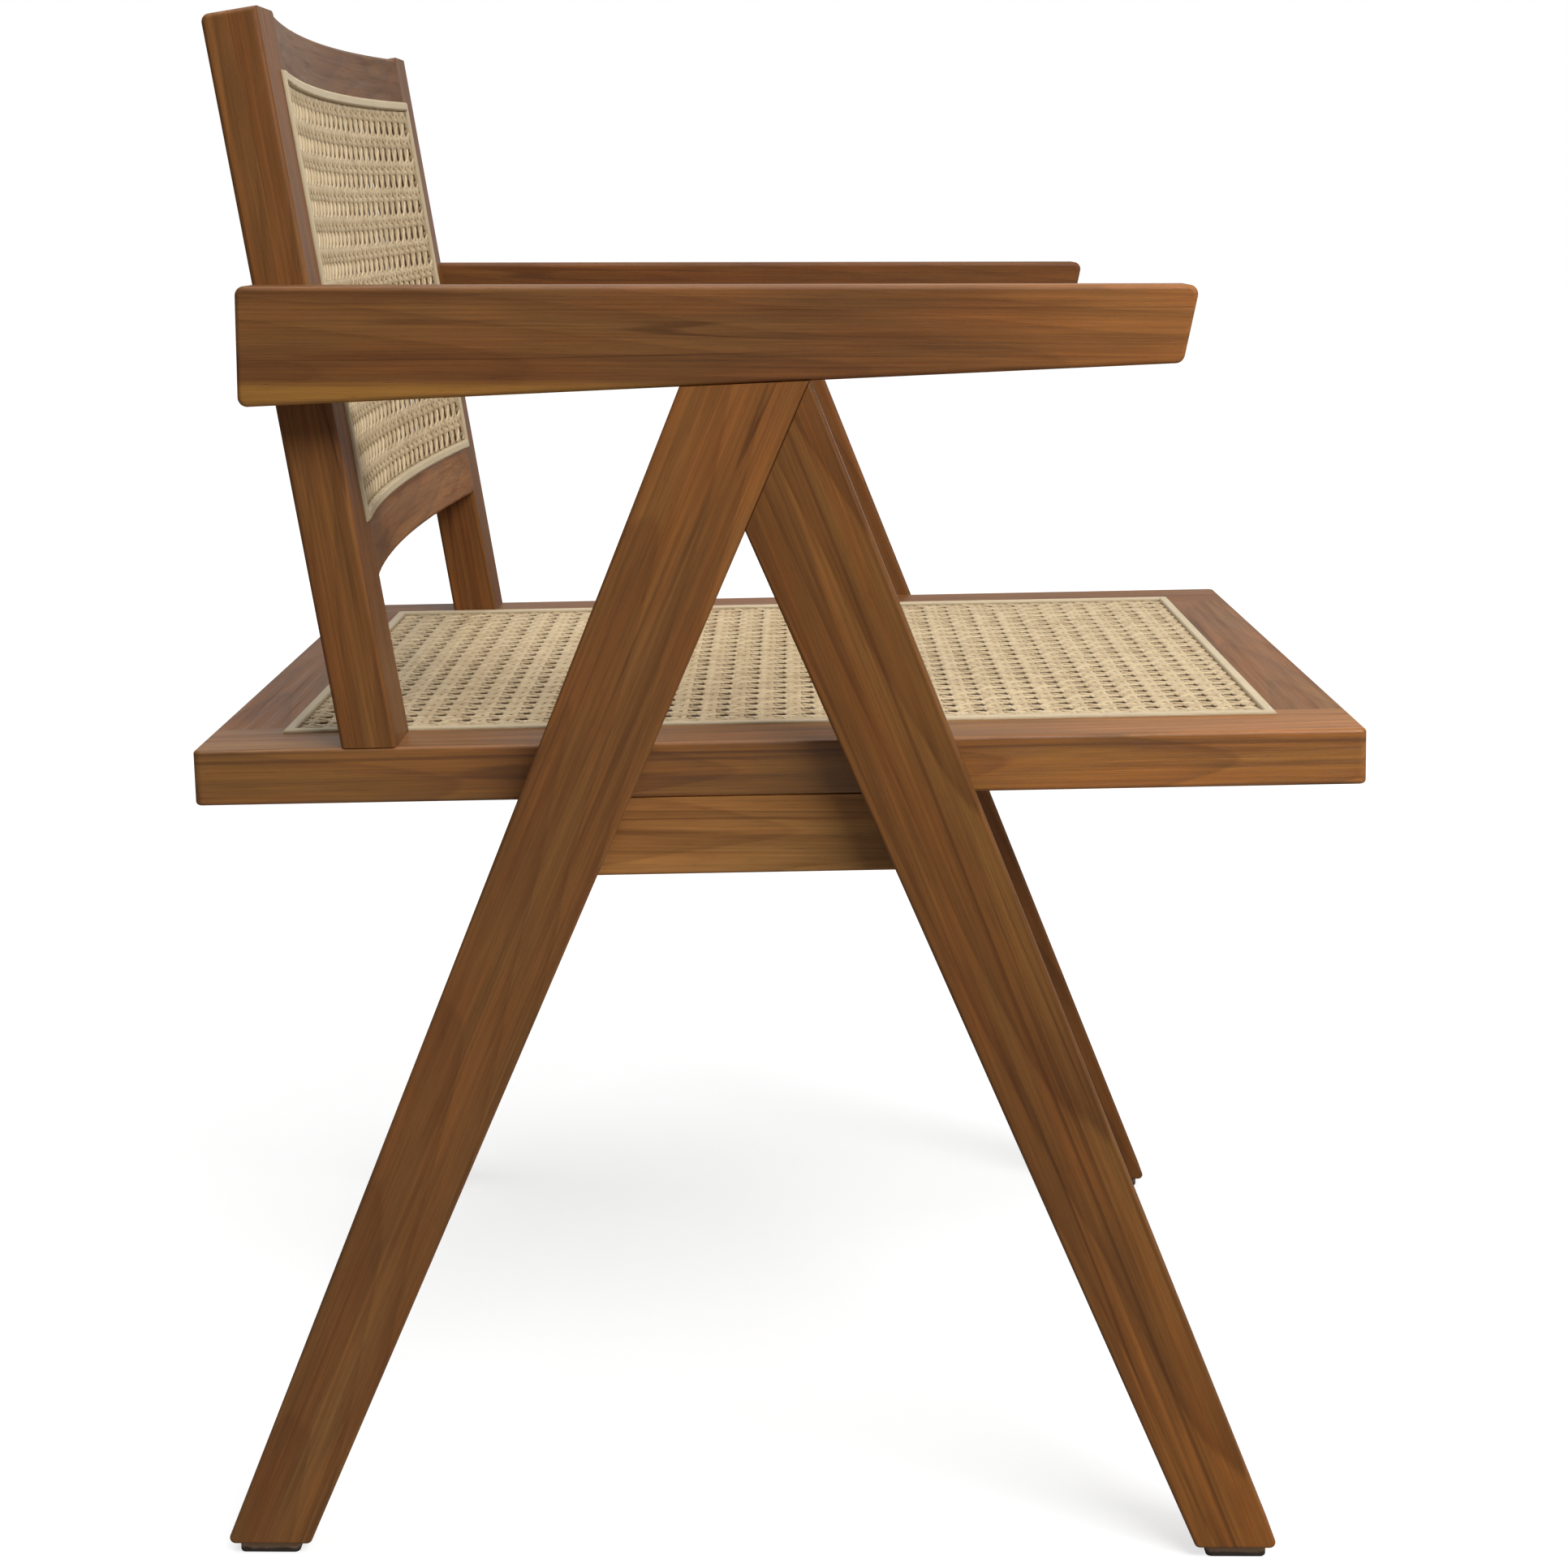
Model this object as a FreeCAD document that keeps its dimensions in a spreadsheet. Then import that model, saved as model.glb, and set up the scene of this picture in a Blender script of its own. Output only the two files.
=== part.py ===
import FreeCAD, Part
import math
import os
import Sketcher
from FreeCAD import Placement, Rotation, Vector

# Wooden armchair with a cane seat and a reclined, bowed cane back.
# Frame of the part: +Z up, the sitter faces -Y, +X is the sitter's left.
# The origin is on the floor, under the middle of the chair.
# All lengths are millimetres and all angles are degrees.

os.makedirs("parts", exist_ok=True)
doc = FreeCAD.newDocument("cane_armchair")

SIZES = (
    # Legs and arms: boards that stand outside the seat frame and the back posts
    ("board_thick", 29.0),
    ("rear_foot_back", 281.4),
    ("rear_foot_width", 42.7),
    ("front_foot_front", 256.3),
    ("front_foot_width", 42.0),
    ("legs_meet_front", 14.0),
    ("rear_leg_top_back", 48.5),
    ("crotch_height_share", 0.878),
    ("leg_ease", 1.8),
    ("foot_corner", 3.0),
    ("arm_set_in", 33.2),
    ("arm_front", 199.3),
    ("arm_nose_slant", 7.2),
    ("arm_top_back", 645.5),
    ("arm_rise", 2.3),
    ("arm_depth_back", 57.7),
    ("arm_depth_front", 37.2),
    ("arm_corner", 4.5),
    ("arm_ease", 2.5),
    # Seat frame
    ("seat_height", 421.0),
    ("seat_slope_angle", 1.33),
    ("seat_shift_back", 0.35),
    ("seat_half_length", 293.1),
    ("seat_half_width", 244.0),
    ("rail_thick", 28.2),
    ("side_margin", 42.5),
    ("cross_margin", 37.5),
    ("seat_ledge", 6.0),
    ("seat_corner", 4.0),
    ("seat_ease", 2.0),
    # Stretcher boards inside the legs, under the side rails
    ("stretcher_thick", 18.0),
    ("stretcher_height", 39.5),
    ("stretcher_lap_share", 0.8),
    ("stretcher_ease", 1.5),
    # Back posts
    ("post_set_in", 41.5),
    ("back_rise", 357.3),
    ("recline_angle", 9.51),
    ("post_depth", 27.6),
    ("post_margin", 34.2),
    ("post_back_corner", 4.0),
    ("post_ease", 2.5),
    ("tenon_length", 16.0),
    ("tenon_shoulder", 6.0),
    # Back rails
    ("top_rail_drop", 1.2),
    ("back_top_margin", 27.8),
    ("back_low_margin", 29.6),
    ("back_gap_share", 0.2203),
    ("back_rail_thick", 22.0),
    ("back_bow", 12.0),
    ("back_ledge", 2.0),
    ("rail_ease", 2.0),
    # Cane and the splines that hold it
    ("cane_thick", 2.4),
    ("cane_play", 0.1),
    ("seat_opening_count_across", 9),
    ("seat_opening_count_along", 12),
    ("back_opening_count_across", 12),
    ("back_opening_count_up", 6),
    ("opening_share", 0.55),
    ("spline_width", 5.8),
    ("spline_depth", 5.0),
    ("spline_bead", 1.6),
    ("spline_ease", 1.5),
    # Feet
    ("glide_height", 6.6),
    ("glide_inset", 4.0),
    ("glide_length", 30.8),
    ("glide_corner", 3.0),
    ("glide_ease", 1.5),
    ("nail_radius", 1.6),
    ("nail_grip", 18.0),
    ("nail_head_radius", 4.0),
    ("nail_head_thick", 1.2),
    ("nail_recess", 2.2),
    # Dowels inside the joints
    ("dowel_radius", 5.0),
    ("dowel_grip", 22.0),
    ("small_dowel_radius", 4.0),
    ("small_dowel_grip", 18.0),
    ("board_grip", 18.0),
    ("stretcher_grip", 12.0),
    ("dowel_play", 0.1),
    # How far a cut runs past the face that it opens
    ("overrun", 3.0),
)

dims = doc.addObject("Spreadsheet::Sheet", "dims")
for row, (alias, number) in enumerate(SIZES, start=1):
    dims.set(f"A{row}", alias)
    dims.set(f"B{row}", str(number))
    dims.setAlias(f"B{row}", alias)
doc.recompute()

TINY_SHARE = 0.0001     # of the seat's half width: how near counts as touching
PAIR_SHARES = (0.3, 0.7)     # where two dowels cross a joint
JOINT_SHARE = 0.3     # where one dowel crosses the joint of two legs
MIDDLE_SHARE = 0.5     # where one dowel crosses the middle of a leg
DEPTH_SHARE = 0.6     # how deep in a rail a dowel lies under its grooved face
pieces = []


# Values and places

def value(expression):
    """Number that an expression of the sheet's values has now."""
    found = dims.evalExpression(str(expression))
    return float(getattr(found, "Value", found))


def near(one, other):
    return abs(one - other) < TINY_SHARE * value("dims.seat_half_width")


SLOPE = "(dims.seat_slope_angle * 1 deg)"
LEAN = "(dims.recline_angle * 1 deg)"


def turned(across, up, angle, origin):
    """Place of a point of a leaning frame, seen from the side: (back, height)."""
    return (f"({origin[0]} + ({across}) * cos({angle}) + ({up}) * sin({angle}))",
            f"({origin[1]} - ({across}) * sin({angle}) + ({up}) * cos({angle}))")


def turned_back(back, height, angle, origin):
    """The same point, told in the leaning frame: (across, up)."""
    return (f"((({back}) - {origin[0]}) * cos({angle}) - (({height}) - {origin[1]}) * sin({angle}))",
            f"((({back}) - {origin[0]}) * sin({angle}) + (({height}) - {origin[1]}) * cos({angle}))")


SEAT_ORIGIN = ("dims.seat_shift_back", "dims.seat_height")
BACK_ORIGIN = ("(dims.seat_half_length - dims.post_set_in)", "(dims.seat_height + dims.back_rise)")


def upright(place):
    return place


def to_seat(place):
    return turned_back(place[0], place[1], SLOPE, SEAT_ORIGIN)


def from_back(across, up):
    return turned(across, up, LEAN, BACK_ORIGIN)


def to_back(place):
    return turned_back(place[0], place[1], LEAN, BACK_ORIGIN)


def between(one, other, share):
    """Point at a share of the way from one place to another."""
    return (f"(({one[0]}) * (1 - {share}) + ({other[0]}) * {share})",
            f"(({one[1]}) * (1 - {share}) + ({other[1]}) * {share})")


def under_seat(one, other, drop):
    """Where the line through two places is a given depth under the seat's top face."""
    top_here = f"(dims.seat_height - (({one[0]}) - dims.seat_shift_back) * tan({SLOPE}))"
    gap = f"({top_here} - ({drop}) / cos({SLOPE}) - ({one[1]}))"
    climb = f"(({other[1]}) - ({one[1]}) + (({other[0]}) - ({one[0]})) * tan({SLOPE}))"
    return between(one, other, f"({gap} / {climb})")


ARM_BACK = "(dims.seat_half_length - dims.arm_set_in)"
ARM_TOP_FRONT = "(dims.arm_top_back + dims.arm_rise)"
ARM_BOTTOM_FRONT = f"({ARM_TOP_FRONT} - dims.arm_depth_front)"
ARM_BOTTOM_BACK = "(dims.arm_top_back - dims.arm_depth_back)"


def arm_underside(back):
    """Height of the arm's underside at a place along it."""
    run = f"({ARM_BACK} + dims.arm_front - dims.arm_nose_slant)"
    rise = f"({ARM_BOTTOM_FRONT} - {ARM_BOTTOM_BACK})"
    return f"({ARM_BOTTOM_BACK} + ({ARM_BACK} - ({back})) * {rise} / {run})"


# Derived sizes that several pieces share
OUTSIDE = "(dims.seat_half_width + dims.board_thick)"
BOARD_MIDDLE = "(dims.seat_half_width + dims.board_thick / 2)"
SIDE_RAIL_WIDTH = "(dims.side_margin + dims.spline_width + dims.seat_ledge)"
CROSS_RAIL_WIDTH = "(dims.cross_margin + dims.spline_width + dims.seat_ledge)"
RAIL_INNER = f"(dims.seat_half_width - {SIDE_RAIL_WIDTH})"
CROSS_INNER = f"(dims.seat_half_length - {CROSS_RAIL_WIDTH})"
STRETCHER_INNER = "(dims.seat_half_width - dims.stretcher_thick)"
POST_INNER = "(dims.seat_half_width - dims.post_margin - dims.spline_width - dims.back_ledge)"
TOP_RAIL_HEIGHT = "(dims.back_top_margin + dims.spline_width + dims.back_ledge)"
LOW_RAIL_HEIGHT = "(dims.back_low_margin + dims.spline_width + dims.back_ledge)"
GROOVE_DEPTH = "(dims.spline_depth + dims.cane_play)"
REBATE_DEPTH = "(dims.cane_thick + dims.cane_play)"

# Length of a post's front edge, down to the seat, and where the bottom rail ends above the seat
POST_LENGTH = f"({to_seat(BACK_ORIGIN)[1]} / cos({LEAN} - {SLOPE}))"
POST_FOOT_BACK = f"(-{POST_LENGTH} + dims.post_depth * tan({LEAN} - {SLOPE}))"
BACK_LOW_EDGE = f"({POST_LENGTH} * (1 - dims.back_gap_share))"

# The seat's cane: half width and half length of the spline's outside and of the cane
SEAT_SPLINE = ("(dims.seat_half_width - dims.side_margin)", "(dims.seat_half_length - dims.cross_margin)")
SEAT_CANE = tuple(f"({half} - dims.spline_width)" for half in SEAT_SPLINE)

# The back's cane: half width, then the two heights below the posts' top
BACK_SPLINE_HALF = "(dims.seat_half_width - dims.post_margin)"
BACK_CANE_HALF = f"({BACK_SPLINE_HALF} - dims.spline_width)"
BACK_SPLINE_TOP = "(-dims.top_rail_drop - dims.back_top_margin)"
BACK_CANE_TOP = f"({BACK_SPLINE_TOP} - dims.spline_width)"
BACK_SPLINE_LOW = f"(-{BACK_LOW_EDGE} + dims.back_low_margin)"
BACK_CANE_LOW = f"({BACK_SPLINE_LOW} + dims.spline_width)"

# Corners of the legs in side view
REAR_FOOT_BACK = ("dims.rear_foot_back", "dims.glide_height")
REAR_FOOT_FRONT = ("(dims.rear_foot_back - dims.rear_foot_width)", "dims.glide_height")
FRONT_FOOT_FRONT = ("(-dims.front_foot_front)", "dims.glide_height")
FRONT_FOOT_BACK = ("(-dims.front_foot_front + dims.front_foot_width)", "dims.glide_height")
LEGS_MEET = ("(-dims.legs_meet_front)", arm_underside("-dims.legs_meet_front"))
REAR_LEG_TOP = ("dims.rear_leg_top_back", arm_underside("dims.rear_leg_top_back"))
CROTCH = between(REAR_FOOT_FRONT, LEGS_MEET, "dims.crotch_height_share")
REAR_LEG = (REAR_FOOT_BACK, REAR_FOOT_FRONT, LEGS_MEET, REAR_LEG_TOP)
FRONT_LEG = (FRONT_FOOT_FRONT, FRONT_FOOT_BACK, CROTCH, LEGS_MEET)


# Bodies, sketches and features

def piece(name, frame="upright"):
    """A body that stands upright, or leans with the seat or with the back."""
    body = doc.addObject("PartDesign::Body", name)
    body.Label = name
    if frame != "upright":
        origin, angle = {"seat": (SEAT_ORIGIN, SLOPE), "back": (BACK_ORIGIN, LEAN)}[frame]
        body.Placement = Placement(Vector(), Rotation(Vector(-1, 0, 0), value(angle)))
        body.setExpression("Placement.Rotation.Angle", angle)
        body.setExpression("Placement.Base.y", origin[0])
        body.setExpression("Placement.Base.z", origin[1])
    pieces.append(body)
    return body


def sketch_on(body, role, start):
    """Empty sketch on one of the body's own planes, moved along the plane's normal."""
    sketch = body.newObject("Sketcher::SketchObject", f"{body.Name}_sketch")
    plane = [feature for feature in body.Origin.OriginFeatures if feature.Role == role][0]
    sketch.AttachmentSupport = [(plane, "")]
    sketch.MapMode = "FlatFace"
    sketch.setExpression("AttachmentOffset.Base.z", start)
    return sketch


def bind(sketch, kind, where, expression):
    """Dimension that follows an expression."""
    index = sketch.addConstraint(Sketcher.Constraint(kind, *where, value(expression)))
    sketch.setExpression(f"Constraints[{index}]", expression)


def bowed_edge(start, finish, sagitta):
    """Arc from start to finish that swells by the sagitta towards +Y of the sketch."""
    half = abs(finish.x - start.x) / 2
    radius = (half ** 2 + sagitta ** 2) / (2 * sagitta)
    centre = Vector((start.x + finish.x) / 2, start.y + sagitta - radius, 0)
    opening = math.atan2(radius - sagitta, half)
    circle = Part.Circle(centre, Vector(0, 0, 1), radius)
    arc = Part.ArcOfCircle(circle, opening, math.pi - opening)
    return arc, (1, 2) if start.x > finish.x else (2, 1)


def draw(sketch, corners, bowed=()):
    """Closed outline through corners, every one bound to the sheet; some edges bow."""
    base = len(sketch.Geometry)
    places = [Vector(value(u), value(v), 0) for u, v in corners]
    count = len(corners)
    ends = []
    for index, start in enumerate(places):
        finish = places[(index + 1) % count]
        if index in bowed:
            edge, order = bowed_edge(start, finish, value("dims.back_bow"))
        else:
            edge, order = Part.LineSegment(start, finish), (1, 2)
        sketch.addGeometry(edge, False)
        ends.append(order)
    for index in range(count):
        after = (index + 1) % count
        joined = (base + index, ends[index][1], base + after, ends[after][0])
        sketch.addConstraint(Sketcher.Constraint("Coincident", *joined))
    for index, (across, up) in enumerate(corners):
        corner = (-1, 1, base + index, ends[index][0])
        bind(sketch, "DistanceX", corner, across)
        bind(sketch, "DistanceY", corner, up)
    for index in bowed:
        half = f"(abs({corners[index][0]}))"
        bind(sketch, "Radius", (base + index,), f"({half} ^ 2 + dims.back_bow ^ 2) / (2 * dims.back_bow)")
    return sketch


def box_corners(low_across, high_across, low_up, high_up):
    return ((low_across, low_up), (high_across, low_up), (high_across, high_up), (low_across, high_up))


def ring(sketch, outer, inner):
    draw(sketch, outer)
    draw(sketch, inner)
    return sketch


def pad(body, sketch, length):
    feature = body.newObject("PartDesign::Pad", f"{body.Name}_pad")
    feature.Profile = sketch
    feature.setExpression("Length", length)
    sketch.Visibility = False
    doc.recompute()
    return feature


def cut(body, sketch, length, forward):
    """Pocket along the sketch's normal (forward) or against it; it has to take wood away."""
    before = body.Shape.Volume
    feature = body.newObject("PartDesign::Pocket", f"{body.Name}_cut")
    feature.Profile = sketch
    feature.Reversed = forward
    feature.setExpression("Length", length)
    sketch.Visibility = False
    doc.recompute()
    if not body.Shape.Volume < before:
        raise RuntimeError(f"a cut in {body.Label} takes nothing away")
    return feature


def ease(body, radius, chosen):
    """Rounds the edges that the test chooses."""
    base = body.Tip
    names = [f"Edge{number}" for number, edge in enumerate(base.Shape.Edges, start=1) if chosen(edge)]
    feature = body.newObject("PartDesign::Fillet", f"{body.Name}_ease")
    feature.Base = (base, names)
    feature.setExpression("Radius", radius)
    doc.recompute()
    return feature


def first_and_pitch(low, high, count):
    """Of openings spread evenly between two ends: where the first begins, its width, and the pitch."""
    pitch = f"((({high}) - ({low})) / {count})"
    return f"(({low}) + {pitch} * (1 - dims.opening_share) / 2)", f"({pitch} * dims.opening_share)", pitch


def grid_of_openings(body, sketch, window, counts, length):
    """Openings in even rows, cut through a panel against the sketch's normal."""
    low_across, high_across, low_up, high_up = window
    start_across, width, pitch_across = first_and_pitch(low_across, high_across, counts[0])
    start_up, height, pitch_up = first_and_pitch(low_up, high_up, counts[1])
    end_across, end_up = f"({start_across} + {width})", f"({start_up} + {height})"
    draw(sketch, box_corners(start_across, end_across, start_up, end_up))
    first = cut(body, sketch, length, False)
    rows = body.newObject("PartDesign::LinearPattern", f"{body.Name}_openings")
    rows.Originals = [first]
    rows.Direction = (sketch, ["H_Axis"])
    rows.Direction2 = (sketch, ["V_Axis"])
    rows.setExpression("Occurrences", counts[0])
    rows.setExpression("Occurrences2", counts[1])
    rows.setExpression("Length", f"({pitch_across} * ({counts[0]} - 1))")
    rows.setExpression("Length2", f"({pitch_up} * ({counts[1]} - 1))")
    body.Tip = rows
    doc.recompute()


def ends_of(edge):
    return [vertex.Point for vertex in edge.Vertexes]


def lies_at(edge, axis, place):
    """True if both ends of the edge have this place along the axis."""
    return all(near(getattr(point, axis), place) for point in ends_of(edge))


def runs_along(edge, axis):
    """True if the edge is straight along one axis."""
    start, finish = ends_of(edge)[0], ends_of(edge)[-1]
    others = [name for name in "xyz" if name != axis]
    same = all(near(getattr(start, name), getattr(finish, name)) for name in others)
    return same and not near(getattr(start, axis), getattr(finish, axis))


def span(side, inner, outer):
    """Start and length along +X of a stretch that reaches from inner to outer on one side."""
    return (inner if side > 0 else f"(-({outer}))"), f"(({outer}) - ({inner}))"


def side_prism(body, side, corners, inner, outer):
    start, length = span(side, inner, outer)
    return pad(body, draw(sketch_on(body, "YZ_Plane", start), corners), length)


def side_cut(body, side, corners, inner, outer):
    start, length = span(side, inner, outer)
    return cut(body, draw(sketch_on(body, "YZ_Plane", start), corners), length, True)


def across(axis):
    """Plane that a hole along this axis is drawn on, and whether its normal runs along it."""
    return {"x": ("YZ_Plane", True), "y": ("XZ_Plane", False), "z": ("XY_Plane", True)}[axis]


def bore(body, axis, place, start, length, radius):
    """Round hole along one axis of the body, from a start, over a length."""
    role, along = across(axis)
    sketch = sketch_on(body, role, start if along else f"(-({start}))")
    centre = Vector(value(place[0]), value(place[1]), 0)
    sketch.addGeometry(Part.Circle(centre, Vector(0, 0, 1), value(radius)), False)
    bind(sketch, "DistanceX", (-1, 1, 0, 3), place[0])
    bind(sketch, "DistanceY", (-1, 1, 0, 3), place[1])
    bind(sketch, "Radius", (0,), radius)
    return cut(body, sketch, length, along)


def peg(name, axis, place, start, length, radius):
    """Cylinder along one axis of the chair."""
    cylinder = doc.addObject("Part::Cylinder", name)
    turn = {"x": (Vector(0, 1, 0), 90), "y": (Vector(-1, 0, 0), 90), "z": (Vector(0, 0, 1), 0)}[axis]
    cylinder.Placement = Placement(Vector(), Rotation(*turn))
    others = [name for name in "xyz" if name != axis]
    cylinder.setExpression("Radius", radius)
    cylinder.setExpression("Height", length)
    cylinder.setExpression(f"Placement.Base.{axis}", start)
    cylinder.setExpression(f"Placement.Base.{others[0]}", place[0])
    cylinder.setExpression(f"Placement.Base.{others[1]}", place[1])
    return cylinder


dowel_groups = {}


def dowel(group, axis, place, start, length, radius, holes):
    """One dowel of a group, with its hole in each body that it joins."""
    members = dowel_groups.setdefault(group, [])
    members.append(peg(f"{group}_{len(members) + 1}", axis, place, start, length, radius))
    for body, local in holes:
        bore(body, axis, local(place), start, length, f"({radius} + dims.dowel_play)")


def gather(name, members):
    """Solids that share one node."""
    group = doc.addObject("Part::Compound", name)
    group.Label = name
    group.Links = members
    pieces.append(group)
    return group


# Legs: two boards on each side that lean together and meet under the arm

def leg(name, side, corners):
    body = piece(name)
    joint = value(CROTCH[1]) if corners is FRONT_LEG else value(REAR_LEG_TOP[1])
    side_prism(body, side, corners, "dims.seat_half_width", OUTSIDE)
    foot = value("dims.glide_height")
    ease(body, "dims.foot_corner", lambda edge: runs_along(edge, "x") and lies_at(edge, "z", foot))

    def on_a_side(edge):
        flat = any(lies_at(edge, "x", side * value(face)) for face in ("dims.seat_half_width", OUTSIDE))
        lowest = min(point.z for point in ends_of(edge))
        return flat and lowest < joint and not near(lowest, joint)
    ease(body, "dims.leg_ease", on_a_side)
    return body


# Arms: boards on edge that rest on the legs and pass outside the back posts

def arm(name, side):
    body = piece(name)
    corners = ((ARM_BACK, ARM_BOTTOM_BACK),
               (ARM_BACK, "dims.arm_top_back"),
               ("(-dims.arm_front)", ARM_TOP_FRONT),
               ("(-dims.arm_front + dims.arm_nose_slant)", ARM_BOTTOM_FRONT))
    side_prism(body, side, corners, "dims.seat_half_width", OUTSIDE)
    ease(body, "dims.arm_corner", lambda edge: runs_along(edge, "x"))
    faces = [side * value(face) for face in ("dims.seat_half_width", OUTSIDE)]
    ease(body, "dims.arm_ease", lambda edge: any(lies_at(edge, "x", face) for face in faces))
    return body


# Seat frame: two long side rails, with the front and rear rails between them

def seat_grooves(body):
    """Groove for the spline and shallow rebate for the cane, cut from the top face."""
    spline = box_corners(f"(-{SEAT_SPLINE[0]})", SEAT_SPLINE[0], f"(-{SEAT_SPLINE[1]})", SEAT_SPLINE[1])
    cane = box_corners(f"(-{SEAT_CANE[0]})", SEAT_CANE[0], f"(-{SEAT_CANE[1]})", SEAT_CANE[1])
    cut(body, ring(sketch_on(body, "XY_Plane", "0"), spline, cane), GROOVE_DEPTH, False)
    cut(body, draw(sketch_on(body, "XY_Plane", "0"), cane), REBATE_DEPTH, False)


def seat_side_rail(name, side):
    body = piece(name, "seat")
    end = "dims.seat_half_length"
    profile = box_corners(f"(-{end})", end, "(-dims.rail_thick)", "0")
    side_prism(body, side, profile, RAIL_INNER, "dims.seat_half_width")
    outer = side * value("dims.seat_half_width")
    ease(body, "dims.seat_corner", lambda edge: runs_along(edge, "z") and lies_at(edge, "x", outer))
    inner = side * value(RAIL_INNER)
    levels = (0, -value("dims.rail_thick"))

    def on_the_rim(edge):
        level = any(lies_at(edge, "z", height) for height in levels)
        return level and not lies_at(edge, "x", inner)
    ease(body, "dims.seat_ease", on_the_rim)
    seat_grooves(body)
    return body


def seat_cross_rail(name, end):
    body = piece(name, "seat")
    outer = f"({end} * dims.seat_half_length)"
    inner = f"({end} * {CROSS_INNER})"
    profile = box_corners(inner, outer, "(-dims.rail_thick)", "0")
    sketch = draw(sketch_on(body, "YZ_Plane", f"(-{RAIL_INNER})"), profile)
    pad(body, sketch, f"(2 * {RAIL_INNER})")
    ease(body, "dims.seat_ease", lambda edge: runs_along(edge, "x") and lies_at(edge, "y", value(outer)))
    seat_grooves(body)
    return body


def seat_cane():
    body = piece("seat_cane", "seat")
    window = (f"(-{SEAT_CANE[0]})", SEAT_CANE[0], f"(-{SEAT_CANE[1]})", SEAT_CANE[1])
    sketch = draw(sketch_on(body, "XY_Plane", f"(-{REBATE_DEPTH})"), box_corners(*window))
    pad(body, sketch, "dims.cane_thick")
    counts = ("dims.seat_opening_count_across", "dims.seat_opening_count_along")
    grid_of_openings(body, sketch_on(body, "XY_Plane", "0"), window, counts, REBATE_DEPTH)
    return body


def seat_cane_spline():
    body = piece("seat_cane_spline", "seat")
    outer = box_corners(f"(-{SEAT_SPLINE[0]})", SEAT_SPLINE[0], f"(-{SEAT_SPLINE[1]})", SEAT_SPLINE[1])
    inner = box_corners(f"(-{SEAT_CANE[0]})", SEAT_CANE[0], f"(-{SEAT_CANE[1]})", SEAT_CANE[1])
    sketch = ring(sketch_on(body, "XY_Plane", "(-dims.spline_depth)"), outer, inner)
    pad(body, sketch, "(dims.spline_depth + dims.spline_bead)")
    top = value("dims.spline_bead")
    ease(body, "dims.spline_ease", lambda edge: lies_at(edge, "z", top))
    return body


# Stretcher boards: under the side rails, with their ends behind the legs

def within_leg(inner_edge, outer_edge, depth, share):
    """Point of a leg at a depth under the seat's top, a share of the way across the leg."""
    return between(under_seat(*inner_edge, depth), under_seat(*outer_edge, depth), share)


REAR_LEG_EDGES = ((REAR_FOOT_FRONT, LEGS_MEET), (REAR_FOOT_BACK, REAR_LEG_TOP))
FRONT_LEG_EDGES = ((FRONT_FOOT_BACK, CROTCH), (FRONT_FOOT_FRONT, LEGS_MEET))


def leg_stretcher(name, side):
    body = piece(name)
    low = "(dims.rail_thick + dims.stretcher_height)"
    corners = (within_leg(*FRONT_LEG_EDGES, low, "dims.stretcher_lap_share"),
               within_leg(*REAR_LEG_EDGES, low, "dims.stretcher_lap_share"),
               within_leg(*REAR_LEG_EDGES, "dims.rail_thick", "dims.stretcher_lap_share"),
               within_leg(*FRONT_LEG_EDGES, "dims.rail_thick", "dims.stretcher_lap_share"))
    side_prism(body, side, corners, STRETCHER_INNER, "dims.seat_half_width")
    middle = (value(corners[0][1]) + value(corners[2][1])) / 2
    faces = [side * value(face) for face in (STRETCHER_INNER, "dims.seat_half_width")]

    def under_edge(edge):
        flat = any(lies_at(edge, "x", face) for face in faces)
        return flat and all(point.z < middle for point in ends_of(edge))
    ease(body, "dims.stretcher_ease", under_edge)
    return body


# Back: two posts tenoned into the side rails, and two bowed rails between them

def post_side():
    """Side view of a post, from its front edge to its back, in the back's own frame."""
    depth = "dims.post_depth"
    return (("0", f"(-{POST_LENGTH})"), (depth, POST_FOOT_BACK), (depth, "0"), ("0", "0"))


def tenon_side():
    front = "dims.tenon_shoulder"
    rear = "(dims.post_depth - dims.tenon_shoulder)"
    low = f"(-{POST_LENGTH} - dims.tenon_length)"
    high = f"(-{POST_LENGTH} + dims.post_depth)"
    return box_corners(front, rear, low, high)


TENON_INNER = "(dims.seat_half_width - dims.post_margin)"
TENON_OUTER = "(dims.seat_half_width - dims.tenon_shoulder)"


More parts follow.
